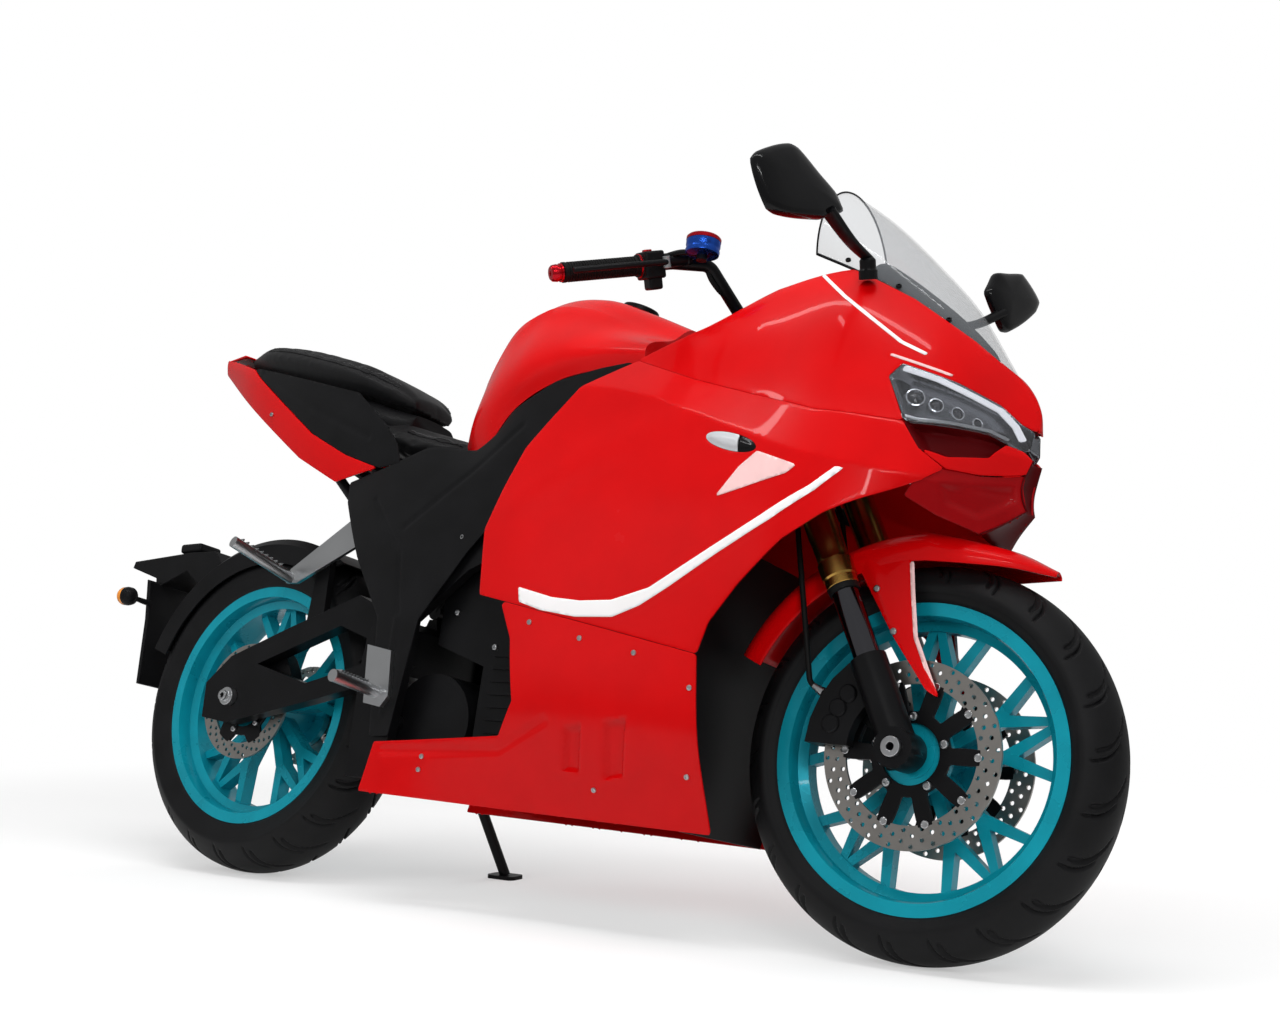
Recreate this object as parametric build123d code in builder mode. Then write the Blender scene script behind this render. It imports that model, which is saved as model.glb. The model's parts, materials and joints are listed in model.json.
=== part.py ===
"""Fully faired electric sport motorcycle, parked on its side stand.

Every piece is drawn in the upright frame of the machine (X forward from the rear axle, Y to the
rider's left, Z up from the floor) and then leaned over onto the stand by `park`.
"""

import math
import os

from build123d import *

os.makedirs("parts", exist_ok=True)

# Stance
WHEELBASE = 1385.0
LEAN = 12.0
RAKE = 26.0
CLAMP_OFFSET = 32.0

# Wheels and tyres
FRONT_TYRE_R = 298.0
FRONT_TYRE_W = 120.0
FRONT_CROWN_DROP = 44.0
REAR_TYRE_R = 319.0
REAR_TYRE_W = 150.0
REAR_CROWN_DROP = 50.0
SEAT_R = 219.0
FLANGE_R = SEAT_R + 13.0
FRONT_RIM_HALF = 48.0
REAR_RIM_HALF = 62.0
RIM_WALL = 10.0
SPOKE_GROUPS = 5
AXLE_R = 10.0
RUNNING_GAP = 0.08
FIT_GAP = 0.3

# Brakes
FRONT_DISC_R = 140.0
FRONT_DISC_Y = 67.5
REAR_DISC_R = 112.0
REAR_DISC_Y = 84.5
DISC_T = 5.0

# Fork
FORK_Y = 106.0
OUTER_TUBE_R = 27.0
INNER_TUBE_R = 21.0
FOOT_R = 28.0
STEM_R = 17.0
FOOT_TOP = 148.0
OUTER_LOW = 268.0
HEAD_LOW = 570.0
HEAD_TOP = 712.0
CLAMP_T = 32.0
FORK_TOP = 770.0

# Frame
PLATE_IN = 130.0
PLATE_OUT = 150.0
SHOCK_PLATE_IN = 124.0
COVER_Y = 157.0
SHOCK_TOP = Vector(452, 0, 690)
PIVOT_X = 400.0
PIVOT_Z = 420.0
ARM_IN = 96.0
ARM_OUT = 126.0
SKIN = 3.5

REAR_AXLE = Vector(0, 0, REAR_TYRE_R)
FRONT_AXLE = Vector(WHEELBASE, 0, FRONT_TYRE_R)
STEER_DIR = Vector(-math.sin(math.radians(RAKE)), 0, math.cos(math.radians(RAKE)))
STEER_FWD = Vector(math.cos(math.radians(RAKE)), 0, math.sin(math.radians(RAKE)))
STEER_FOOT = FRONT_AXLE - STEER_FWD * CLAMP_OFFSET

# Side stand
STAND_PIVOT = Vector(368, 172, 222)
STAND_AXIS = Vector(0.211, 0.687, 0.672).normalized()
STAND_FOOT_X = 420.0
STAND_FOOT_Y = 262.0

PIECES = {}


def keep(name, solid):
    """Remember a finished piece under its name."""
    solid.label = name
    PIECES[name] = solid


def outline(points):
    """Closed face through the given points of the current sketch plane."""
    Polygon(*points, align=None)


def slab(points, inner, outer):
    """Plate on the left side: side-view outline between two distances from the centre plane."""
    with BuildPart() as plate:
        with BuildSketch(Plane.XZ.offset(-outer)):
            outline(points)
        extrude(amount=outer - inner)
    return plate.part


def both_sides(solid):
    """The piece and its mirror image, as one shape."""
    with BuildPart() as pair:
        add(solid)
        mirror(solid, about=Plane.XZ)
    return pair.part


def rod(start, end, radius):
    """Straight round bar between two points."""
    start, end = Vector(*start), Vector(*end)
    with BuildPart() as bar:
        with BuildSketch(Plane(origin=start, z_dir=end - start)):
            Circle(radius)
        extrude(amount=(end - start).length)
    return bar.part


def tube(points, bend, radius):
    """Round bar along a path of straight runs with rounded corners."""
    with BuildPart() as bar:
        with BuildLine() as path:
            FilletPolyline(*points, radius=bend)
        with BuildSketch(Plane(origin=path.line @ 0, z_dir=path.line % 0)):
            Circle(radius)
        sweep()
    return bar.part


def inward(points, depth):
    """Half-section moved toward the centre plane by a depth, measured square to each run."""
    moved = []
    for i, (y, z) in enumerate(points):
        before = points[max(i - 1, 0)]
        after = points[min(i + 1, len(points) - 1)]
        run = Vector(after[0] - before[0], after[1] - before[1]).normalized()
        moved.append((y + run.Y * depth, z - run.X * depth))
    return moved


def patch(a, b, c, d):
    """Ruled face between the runs a to b and d to c."""
    return Face.make_surface_from_curves(Edge.make_line(a, b), Edge.make_line(d, c))


def skin(stations, wall, depth=0.0):
    """Creased panel through half-sections listed from the top edge down, ruled from one to the next."""
    outer = [[Vector(x, *p) for p in (inward(points, depth) if depth else points)] for x, points in stations]
    inner = [[Vector(x, *p) for p in inward(points, depth + wall)] for x, points in stations]
    last_x, last_p = len(outer) - 1, len(outer[0]) - 1
    faces = []
    for grid in (outer, inner):
        for i in range(last_x):
            for j in range(last_p):
                faces.append(patch(grid[i][j], grid[i + 1][j], grid[i + 1][j + 1], grid[i][j + 1]))
    for i in (0, last_x):
        for j in range(last_p):
            faces.append(patch(outer[i][j], outer[i][j + 1], inner[i][j + 1], inner[i][j]))
    for j in (0, last_p):
        for i in range(last_x):
            faces.append(patch(outer[i][j], outer[i + 1][j], inner[i + 1][j], inner[i][j]))
    return Solid(Shell(faces))


def body(stations):
    """Closed creased body through full sections, ruled from one to the next."""
    rings = [[Vector(x, *p) for p in points] for x, points in stations]
    count = len(rings[0])
    faces = [Face(Wire.make_polygon(rings[0])), Face(Wire.make_polygon(rings[-1]))]
    for here, there in zip(rings, rings[1:]):
        for j in range(count):
            k = (j + 1) % count
            faces.append(patch(here[j], there[j], there[k], here[k]))
    return Solid(Shell(faces))


def trimmed(solid, points):
    """The part of a panel that lies inside a side-view outline."""
    with BuildPart() as cut:
        add(solid)
        with BuildSketch(Plane.XZ):
            outline(points)
        extrude(amount=600, both=True, mode=Mode.INTERSECT)
    return cut.part


def steer_point(along, forward=0.0, across=0.0):
    """Point given along the steering axis, forward of it and to the left of it."""
    return STEER_FOOT + STEER_DIR * along + STEER_FWD * forward + Vector(0, across, 0)


def steer_plane(along):
    """Plane square to the steering axis, its x forward and its y to the left."""
    return Plane(origin=steer_point(along), x_dir=STEER_FWD, z_dir=STEER_DIR)


# Wheels


def tyre(radius, width, drop, rim_half):
    """Hollow tyre ring about the Y axis."""
    bead = rim_half - 6 - FIT_GAP
    side, shoulder, wall = width / 2, radius - drop, 9.0
    with BuildPart() as ring:
        with BuildSketch(Plane.YZ):
            with BuildLine():
                Polyline((bead - wall, SEAT_R + FIT_GAP), (bead, SEAT_R + FIT_GAP),
                         (bead, FLANGE_R + 2), (side, shoulder))
                ThreePointArc((side, shoulder), (0, radius), (-side, shoulder))
                Polyline((-side, shoulder), (-bead, FLANGE_R + 2), (-bead, SEAT_R + FIT_GAP),
                         (wall - bead, SEAT_R + FIT_GAP), (wall - bead, FLANGE_R + 6),
                         (wall - side, shoulder))
                ThreePointArc((wall - side, shoulder), (0, radius - wall - 2), (side - wall, shoulder))
                Polyline((side - wall, shoulder), (bead - wall, FLANGE_R + 6),
                         (bead - wall, SEAT_R + FIT_GAP))
            make_face()
        revolve(axis=Axis.Y)
    return ring.part


def bar_outline(start, end, half_start, half_end):
    """Corners of a tapered straight bar in the plane of the wheel."""
    run = Vector(end[0] - start[0], end[1] - start[1]).normalized()
    side = Vector(-run.Y, run.X)
    return [(start[0] + side.X * half_start, start[1] + side.Y * half_start),
            (end[0] + side.X * half_end, end[1] + side.Y * half_end),
            (end[0] - side.X * half_end, end[1] - side.Y * half_end),
            (start[0] - side.X * half_start, start[1] - side.Y * half_start)]


def polar(radius, degrees):
    """Point of the wheel plane."""
    return radius * math.cos(math.radians(degrees)), radius * math.sin(math.radians(degrees))


def rim(half, hub_r, hub_half, flange_right, flange_left, flange_r, spoke_half):
    """Cast wheel about the Y axis: rim, forked spokes in groups, hub and side flanges."""
    low = SEAT_R - RIM_WALL
    fork_r, end_r = 122.0, SEAT_R - 20
    with BuildPart() as wheel:
        with BuildSketch(Plane.YZ):
            right = [(half - 34, SEAT_R - 24), (half - 26, low), (half - 8, low), (half, low + 3),
                     (half, FLANGE_R), (half - 6, FLANGE_R), (half - 6, SEAT_R), (half - 22, SEAT_R),
                     (half - 30, SEAT_R - 14)]
            outline(right + [(-y, z) for y, z in right[::-1]])
        revolve(axis=Axis.Y)
        with BuildSketch(Plane.XZ):
            for group in range(SPOKE_GROUPS):
                middle = 90 + group * 360 / SPOKE_GROUPS
                for side in (-1, 1):
                    knee = polar(fork_r, middle + side * 13)
                    outline(bar_outline(polar(hub_r - 6, middle + side * 16), knee, 9, 10))
                    outline(bar_outline(knee, polar(end_r, middle + side * 22), 9.5, 7.5))
                    outline(bar_outline(knee, polar(end_r, middle + side * 1.5), 9.5, 6.5))
        extrude(amount=spoke_half, both=True)
        with BuildSketch(Plane.XZ.offset(-hub_half)):
            Circle(hub_r)
        extrude(amount=2 * hub_half)
        with BuildSketch(Plane.XZ.offset(-flange_left)):
            Circle(flange_r)
        extrude(amount=14)
        with BuildSketch(Plane.XZ.offset(flange_right - 14)):
            Circle(flange_r)
        extrude(amount=14)
        with BuildSketch(Plane.XZ.offset(-200)):
            Circle(AXLE_R + RUNNING_GAP)
        extrude(amount=400, mode=Mode.SUBTRACT)
    return wheel.part


def disc(radius, band, inner_r, arms, rows):
    """Drilled brake disc with its carrier about the Y axis, centred on y = 0."""
    with BuildPart() as plate:
        with BuildSketch(Plane.XZ):
            Circle(radius)
            Circle(radius - band, mode=Mode.SUBTRACT)
            for arm in range(arms):
                turn = arm * 360 / arms
                outline(bar_outline(polar(inner_r + 4, turn), polar(radius - band + 2, turn), 9, 7))
            Circle(inner_r + 15)
            Circle(inner_r, mode=Mode.SUBTRACT)
            for row in range(rows):
                for step in range(3):
                    turn = row * 360 / rows + step * 9
                    with Locations(polar(radius - band + 7 + step * (band - 14) / 2, turn)):
                        Circle(3.4, mode=Mode.SUBTRACT)
        extrude(amount=DISC_T / 2, both=True)
    return plate.part


front_place = Location(FRONT_AXLE)
rear_place = Location(REAR_AXLE)
keep("front_tyre", front_place * tyre(FRONT_TYRE_R, FRONT_TYRE_W, FRONT_CROWN_DROP, FRONT_RIM_HALF))
keep("rear_tyre", rear_place * tyre(REAR_TYRE_R, REAR_TYRE_W, REAR_CROWN_DROP, REAR_RIM_HALF))
front_flange = FRONT_DISC_Y - DISC_T / 2 - FIT_GAP
rear_flange = REAR_DISC_Y - DISC_T / 2 - FIT_GAP
keep("front_rim", front_place * rim(FRONT_RIM_HALF, 36, 66, front_flange, front_flange, 62, 11))
keep("rear_rim", rear_place * rim(REAR_RIM_HALF, 40, 82, rear_flange, rear_flange - 2, 66, 14))
front_disc = disc(FRONT_DISC_R, 36, 46, 10, 10)
with BuildPart() as front_discs:
    add(Location((WHEELBASE, FRONT_DISC_Y, FRONT_TYRE_R)) * front_disc)
    add(Location((WHEELBASE, -FRONT_DISC_Y, FRONT_TYRE_R)) * front_disc)
keep("front_discs", front_discs.part)
keep("rear_disc", Location((0, -REAR_DISC_Y, REAR_TYRE_R)) * disc(REAR_DISC_R, 30, 50, 6, 10))

SPROCKET_R = 96.0
DRIVE_R = 34.0
MOTOR_X, MOTOR_Z, MOTOR_R = 500.0, 295.0, 86.0
CHAIN_Y, CHAIN_T = 83.0, 9.0
with BuildPart() as rear_sprocket:
    with BuildSketch(Plane.XZ.offset(-(CHAIN_Y + 2.5))):
        with Locations((0, REAR_TYRE_R)):
            Circle(SPROCKET_R - 7)
            Circle(50, mode=Mode.SUBTRACT)
            with PolarLocations(76, 6):
                Circle(9, mode=Mode.SUBTRACT)
    extrude(amount=5)
keep("rear_sprocket", rear_sprocket.part)

# Drive chain: a band around the two sprockets
gap_x, gap_z = MOTOR_X, MOTOR_Z - REAR_TYRE_R
reach = math.hypot(gap_x, gap_z)
tilt = math.degrees(math.atan2(gap_z, gap_x))
spread = math.degrees(math.acos((SPROCKET_R - DRIVE_R) / reach))


def belt(grow):
    """Arc points of a belt line around both sprockets: around the wheel, then around the motor."""
    big, small = SPROCKET_R + grow, DRIVE_R + grow
    up, down = tilt + spread, tilt - spread
    around = [(polar(big, a)[0], REAR_TYRE_R + polar(big, a)[1]) for a in (up, tilt + 180, down)]
    nose = [(MOTOR_X + polar(small, a)[0], MOTOR_Z + polar(small, a)[1]) for a in (down, tilt, up)]
    return around, nose


with BuildPart() as drive_chain:
    for grow, how in ((5, Mode.ADD), (-5, Mode.SUBTRACT)):
        around, nose = belt(grow)
        with BuildSketch(Plane.XZ.offset(-(CHAIN_Y + CHAIN_T / 2))):
            with BuildLine():
                ThreePointArc(*around)
                Line(around[2], nose[0])
                ThreePointArc(*nose)
                Line(nose[2], around[0])
            make_face()
        extrude(amount=CHAIN_T, mode=how)
keep("drive_chain", drive_chain.part)

# Rear axle
with BuildPart() as rear_axle:
    with BuildSketch(Plane.XZ.offset(-150)):
        with Locations((0, REAR_TYRE_R)):
            Circle(AXLE_R)
    extrude(amount=300)
    for low, high, radius in ((ARM_OUT + FIT_GAP, ARM_OUT + 14, 17), (88, ARM_IN - FIT_GAP, 16)):
        with BuildSketch(Plane.XZ.offset(-high)):
            with Locations((0, REAR_TYRE_R)):
                Circle(radius)
        extrude(amount=high - low)
        with BuildSketch(Plane.XZ.offset(low)):
            with Locations((0, REAR_TYRE_R)):
                Circle(radius)
        extrude(amount=high - low)
    with BuildSketch(Plane.XZ.offset(-200)):
        with Locations((0, REAR_TYRE_R)):
            Circle(5)
    extrude(amount=400, mode=Mode.SUBTRACT)
keep("rear_axle", rear_axle.part)

# Swingarm with its pivot shaft
ARM_SIDE = [(-70, 278), (-76, 345), (-20, 398), (120, 455), (290, 520), (385, 482), (428, 442),
            (428, 396), (385, 366), (200, 318), (0, 270)]
ARM_HOLE = [(55, 385), (255, 462), (325, 440), (325, 392), (190, 352)]
with BuildPart() as swingarm:
    add(both_sides(slab(ARM_SIDE, ARM_IN, ARM_OUT)))
    with BuildSketch(Plane.XZ.offset(-200)):
        outline(ARM_HOLE)
        with Locations((0, REAR_TYRE_R)):
            Circle(AXLE_R + 0.1)
    extrude(amount=400, mode=Mode.SUBTRACT)
    with BuildSketch(Plane.XZ.offset(-ARM_OUT)):
        outline([(340, 378), (412, 378), (412, 462), (385, 480), (340, 470)])
    extrude(amount=2 * ARM_OUT)
    with BuildSketch(Plane.XZ.offset(-PLATE_OUT)):
        with Locations((PIVOT_X, PIVOT_Z)):
            Circle(12)
    extrude(amount=2 * PLATE_OUT)
    with BuildSketch(Plane.XZ.offset(-12)):
        outline([(352, 465), (392, 465), (384, 500), (366, 500)])
    extrude(amount=24)
keep("swingarm", swingarm.part)

# Main frame: head tube, spars, pivot plates and the side stand lug
SPAR = [(1005, 865), (1005, 785), (760, 650), (560, 560), (452, 470), (450, 395), (432, 188),
        (352, 188), (345, 400), (365, 500), (470, 612), (700, 742), (930, 865)]
SHOCK_PLATE = [(420, 560), (432, 706), (480, 712), (505, 640), (500, 560)]
stand_lug_low = STAND_PIVOT - STAND_AXIS * 34
with BuildPart() as main_frame:
    add(both_sides(slab(SPAR, PLATE_IN, PLATE_OUT)))
    add(both_sides(slab(SHOCK_PLATE, SHOCK_PLATE_IN, PLATE_IN + 4)))
    with BuildSketch(Plane.XZ.offset(-PLATE_OUT)):
        outline([(1005, 865), (1005, 785), (945, 752), (945, 865)])
    extrude(amount=2 * PLATE_OUT)
    with BuildSketch(Plane.XZ.offset(-45)):
        outline([(960, 862), (960, 770), (1108, 812), (1068, 900)])
    extrude(amount=90)
    with BuildSketch(Plane.XZ.offset(-PLATE_OUT)):
        with Locations((385, 300)):
            Circle(14)
    extrude(amount=2 * PLATE_OUT)
    with BuildSketch(Plane.XZ.offset(-PLATE_IN)):
        with Locations((SHOCK_TOP.X, SHOCK_TOP.Z)):
            Circle(16)
    extrude(amount=2 * PLATE_IN)
    for edge in (PLATE_OUT - 5, -COVER_Y + SKIN + FIT_GAP):
        with BuildSketch(Plane.XZ.offset(edge)):
            with Locations((425, 560), (425, 330)):
                Circle(10)
        extrude(amount=COVER_Y - SKIN - FIT_GAP - PLATE_OUT + 5)
    with BuildSketch(steer_plane(HEAD_LOW)):
        Circle(32)
    extrude(amount=HEAD_TOP - HEAD_LOW)
    with BuildSketch(Plane(origin=stand_lug_low, z_dir=STAND_AXIS)):
        Circle(19)
    extrude(amount=33.5)
    with BuildSketch(Plane(origin=stand_lug_low, z_dir=STAND_AXIS)):
        Circle(7)
    extrude(amount=56)
    with BuildSketch(Plane(origin=STAND_PIVOT + STAND_AXIS * 17, z_dir=STAND_AXIS)):
        Circle(11)
    extrude(amount=5)
    with BuildSketch(steer_plane(HEAD_LOW - 50)):
        Circle(STEM_R + FIT_GAP)
    extrude(amount=300, mode=Mode.SUBTRACT)
    with BuildSketch(Plane.XZ.offset(-200)):
        with Locations((PIVOT_X, PIVOT_Z)):
            Circle(12.1)
    extrude(amount=400, mode=Mode.SUBTRACT)
keep("main_frame", main_frame.part)

# Battery case and motor
CASE_HALF = 120.0
with BuildPart() as battery_case:
    with BuildSketch(Plane.XZ.offset(-CASE_HALF)):
        outline([(602, 192), (1018, 192), (1018, 560), (905, 688), (575, 688), (492, 596), (492, 432),
                 (602, 396)])
    extrude(amount=2 * CASE_HALF)
    with BuildSketch(Plane.XZ.offset(-(PLATE_IN - FIT_GAP))):
        with Locations((700, 660), (540, 580)):
            Circle(15)
    extrude(amount=2 * (PLATE_IN - FIT_GAP))
keep("battery_case", battery_case.part)

with BuildPart() as drive_motor:
    with BuildSketch(Plane.XZ.offset(-70)):
        with Locations((MOTOR_X, MOTOR_Z)):
            Circle(MOTOR_R)
    extrude(amount=188)
    with BuildSketch(Plane.XZ.offset(-(CHAIN_Y + 3))):
        with Locations((MOTOR_X, MOTOR_Z)):
            Circle(DRIVE_R - 6)
    extrude(amount=30)
    with BuildSketch(Plane.XZ.offset(118 - 12)):
        with Locations((428, 290)):
            Circle(13)
    extrude(amount=PLATE_IN - FIT_GAP - 118 + 12)
keep("drive_motor", drive_motor.part)

# Rear shock between the swingarm lug and the upper cross tube
shock_low = Vector(375, 0, 514.4)
shock_dir = (SHOCK_TOP - shock_low).normalized()
shock_length = (SHOCK_TOP - shock_low).length
with BuildPart() as rear_shock:
    with BuildSketch(Plane.XZ.offset(-11)):
        with Locations((shock_low.X, shock_low.Z)):
            Circle(14)
    extrude(amount=22)
    with BuildSketch(Plane(origin=shock_low, z_dir=shock_dir)):
        Circle(12)
    extrude(amount=shock_length - 16 - 1.2)
    for step in range(7):
        with BuildSketch(Plane(origin=shock_low + shock_dir * (24 + step * 18), z_dir=shock_dir)):
            Circle(30)
        extrude(amount=10)
keep("rear_shock", rear_shock.part)

# Tail surface: half-sections from the seat edge down
TAIL = [
    (290, [(126, 900), (130, 830), (131, 780), (126, 735)]),
    (165, [(125, 925), (129, 860), (129, 800), (121, 735)]),
    (0, [(113, 985), (117, 930), (116, 880), (105, 795)]),
    (-164, [(84, 1030), (89, 1000), (87, 970), (72, 890)]),
    (-306, [(40, 1060), (40, 1052), (38, 1042), (30, 1018)]),
]

# Subframe rails
with BuildPart() as rails:
    add(tube([(452, 106, 640), (300, 100, 722), (-150, 68, 940)], 60, 11))
    add(rod((420, 106, 520), (95, 88, 806), 10))
    add(rod((452, 106, 640), (452, SHOCK_PLATE_IN - FIT_GAP, 640), 13))
    add(rod((420, 106, 520), (420, PLATE_IN - FIT_GAP, 520), 13))
    add(rod((200, 90, 770), (200, 150, 770), 8))
    add(rod((0, 78, 867), (0, 140, 867), 8))
    add(skin(TAIL, 44 + SKIN + FIT_GAP, -44), mode=Mode.SUBTRACT)
with BuildPart() as subframe:
    add(both_sides(rails.part))
    add(rod((250, 98, 746), (250, -98, 746), 9))
    add(rod((-100, 72, 915), (-100, -72, 915), 9))
    add(rod((230, 0, 752), (230, 0, 823.5), 9))
    add(rod((-100, 0, 915), (-100, 0, 998.6), 9))
    add(rod((260, 0, 745), (225, 0, 754), 9))
keep("subframe", subframe.part)

# Tank cover: hollow, lofted through creased sections
TANK = [  # x, bottom half, bottom z, widest half, widest z, crease half, crease z, top half, top z
    (450, 70, 800, 80, 815, 66, 842, 32, 852),
    (480, 98, 792, 110, 830, 92, 915, 45, 945),
    (520, 118, 788, 132, 858, 98, 1000, 46, 1044),
    (600, 146, 852, 158, 892, 102, 1058, 46, 1092),
    (700, 160, 896, 170, 926, 106, 1052, 46, 1094),
    (800, 165, 910, 171, 936, 100, 1014, 42, 1058),
    (884, 165, 916, 168, 930, 86, 984, 34, 1022),
]


def tank_body(sink, lower):
    """Creased body; sink shrinks it from the outside, lower drops its underside."""
    stations = []
    for x, hb, zb, hw, zw, hc, zc, ht, zt in TANK:
        half = [(hb - sink, zb - lower), (hw - sink, zw), (hc - sink, zc - sink), (ht - sink, zt - sink)]
        stations.append((x, half + [(-y, z) for y, z in half[::-1]]))
    return body(stations)


with BuildPart() as tank_cover:
    add(tank_body(0, 0))
    with BuildPart(mode=Mode.PRIVATE) as hollow:
        add(tank_body(5, 60))
        with BuildSketch(Plane.YZ.offset(458)):
            Rectangle(600, 3000)
        extrude(amount=420, mode=Mode.INTERSECT)
    add(hollow.part, mode=Mode.SUBTRACT)
keep("tank_cover", tank_cover.part)

# Frame covers beside the tank and the pivot
COVER = [
    (190, [(114, 770), (120, 715), (126, 660), (130, 600)]),
    (300, [(120, 808), (134, 735), (146, 640), (150, 540)]),
    (400, [(124, 826), (142, 740), (COVER_Y, 600), (COVER_Y, 230)]),
    (520, [(126, 806), (146, 745), (COVER_Y, 640), (COVER_Y, 230)]),
    (640, [(154, 894), (159, 820), (161, 740), (COVER_Y, 230)]),
    (760, [(167, 916), (169, 870), (169, 800), (167, 700)]),
    (890, [(173, 932), (174, 916), (175, 900), (174, 850)]),
]
COVER_SIDE = [(872, 914.4), (800, 909), (700, 895), (600, 851), (566, 812), (520, 787), (480, 791),
              (448, 799), (400, 799), (296, 764), (205, 742), (215, 700), (285, 588), (372, 473), (400, 260),
              (444, 262),
              (474, 470), (560, 590), (653, 694), (686, 764), (733, 818), (780, 868)]
keep("frame_covers", both_sides(trimmed(skin(COVER, SKIN), COVER_SIDE)))

# Seats
SEAT = [(449.4, 50, 806, 828), (425, 70, 803, 833), (375, 90, 802, 845), (300, 106, 806, 864),
        (212, 114, 832, 886)]
PILLION = [(286, 56, 900, 928), (250, 90, 909, 954), (190, 116, 925, 984), (90, 126, 951, 1016),
           (-30, 120, 983, 1046), (-140, 98, 1012, 1062), (-226, 52, 1035, 1060)]


def cushion(table):
    """Padded seat through sections of half width, underside and top."""
    stations = []
    for x, half, low, top in table:
        side = low + (top - low) * 0.6
        points = [(half * 0.9, low), (half, side), (half * 0.84, top - 6), (half * 0.45, top)]
        stations.append((x, points + [(-y, z) for y, z in points[::-1]]))
    return body(stations)


keep("rider_seat", cushion(SEAT))
keep("pillion_seat", cushion(PILLION))

# Tail
TAIL_SIDE = [(-306, 1062), (-235, 1040), (-160, 1012), (-132, 990), (82, 846), (190, 795), (278, 766),
             (168, 744), (50, 800), (-140, 922), (-306, 1030)]
with BuildPart() as tail_cowls:
    add(both_sides(trimmed(skin(TAIL, SKIN), TAIL_SIDE)))
    with BuildSketch(Plane.XZ.offset(-39)):
        outline([(-306, 1058), (-232, 1058), (-232, 1052), (-306, 1051)])
    extrude(amount=78)
keep("tail_cowls", tail_cowls.part)
INSET_SIDE = [(-158, 1013), (-131, 991), (83, 847), (191, 796), (279, 767), (288, 800), (268, 850),
              (214, 904)]
INSET_SIDE += [(x, low - 1) for x, half, low, top in PILLION[2:6]]
keep("tail_insets", both_sides(trimmed(skin(TAIL, SKIN, 1.5), INSET_SIDE)))
with BuildPart() as tail_lamp:
    with BuildSketch(Plane.XZ.offset(-31)):
        outline([(-304, 1050.5), (-250, 1050.5), (-250, 1030), (-304, 1036)])
    extrude(amount=62)
keep("tail_lamp", tail_lamp.part)

# Fairing surface: half-sections from the cockpit rim down to the belly edge
FAIRING = [
    (380, [(40, 1090), (140, 1010), (150, 960), (160, 880), (172, 640), (170, 540), (170, 330), (154, 164)]),
    (560, [(40, 1090), (145, 1005), (155, 950), (180, 880), (192, 640), (190, 520), (182, 330), (142, 160)]),
    (700, [(40, 1085), (150, 1000), (160, 942), (192, 876), (210, 640), (208, 491), (192, 327), (132, 157)]),
    (880, [(50, 1080), (162, 965), (172, 914), (205, 852), (222, 640), (214, 454), (196, 316), (130, 153)]),
    (1000, [(60, 1085), (164, 968), (186, 868), (215, 812), (231, 640), (213, 429), (194, 302), (130, 151)]),
    (1120, [(60, 1095), (148, 1028), (202, 829), (226, 762), (236, 640), (208, 404), (186, 285), (128, 149)]),
    (1240, [(40, 1130), (127, 1057), (212, 793), (233, 718), (234, 632), (200, 380), (170, 260), (122, 144)]),
    (1340, [(20, 1080), (104, 1004), (186, 777), (203, 700), (200, 628), (168, 360), (150, 240), (112, 138)]),
    (1430, [(-10, 1010), (62, 940), (128, 764), (140, 690), (104, 625), (110, 350), (95, 235), (75, 133)]),
    (1490, [(-30, 960), (12, 890), (54, 758), (42, 690), (28, 640), (50, 350), (40, 230), (30, 130)]),
    (1524, [(-40, 915), (-6, 852), (14, 758), (10, 690), (8, 650), (8, 350), (6, 230), (4, 120)]),
]
SHOULDER = [(876, 915), (1000, 868), (1120, 829), (1240, 793), (1320, 784), (1370, 780)]
SEAM = [(1084, 411.5), (1000, 429), (880, 454), (700, 491), (636, 504.5)]
ARCH = [(1396, 738), (1429, 712), (1406, 688), (1367, 668), (1331, 650), (1281, 624), (1222, 583),
        (1151, 515), (1103, 459)]
panel_skin = skin(FAIRING, SKIN)
LEFT_HALF = Pos(1000, 500, 600) * Box(3000, 1000, 3000)

# Nose cowl, headlamps, chin
NOSE_SIDE = [(x, z + 0.7) for x, z in SHOULDER]
NOSE_SIDE += [(1337, 855), (1352, 880), (1425, 859), (1474, 838), (1501, 813), (1524, 803), (1524, 858),
              (1490, 891), (1430, 941), (1340, 1005), (1240, 1057), (1120, 1028), (1000, 967), (885, 921)]
with BuildPart() as nose_half:
    add(trimmed(panel_skin, NOSE_SIDE))
    add(LEFT_HALF, mode=Mode.INTERSECT)
keep("nose_cowl", both_sides(nose_half.part))
LENS_SIDE = [(1331, 857), (1350, 886), (1427, 864), (1478, 842), (1504, 818), (1520, 808), (1520, 771),
             (1503, 765), (1488, 775), (1467, 784), (1379, 778), (1368, 776)]
with BuildPart() as lens_half:
    add(trimmed(skin(FAIRING, 14, SKIN + 0.4), LENS_SIDE))
    add(Pos(0, 0.5, 0) * LEFT_HALF, mode=Mode.INTERSECT)
keep("headlamps", both_sides(lens_half.part))
CHIN_SIDE = [(1397, 738.6), (1430, 731), (1472, 746), (1488, 773), (1508, 768), (1521, 757), (1510, 713),
             (1516, 678), (1462, 632), (1425, 646), (1391, 667), (1407.5, 687.6), (1430.5, 712)]
CHIN_FRONT = [(1520, 756), (1509, 735), (1502, 711), (1505, 690), (1514, 672), (1504, 664), (1494, 690),
              (1491, 711), (1498, 738), (1508, 757)]
with BuildPart() as chin_half:
    add(trimmed(panel_skin, CHIN_SIDE))
    with BuildSketch(Plane.XZ.offset(-60)):
        outline(CHIN_FRONT)
    extrude(amount=60)
    add(skin(FAIRING, 90, -90), mode=Mode.SUBTRACT)
    add(LEFT_HALF, mode=Mode.INTERSECT)
keep("chin_cowl", both_sides(chin_half.part))

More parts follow.
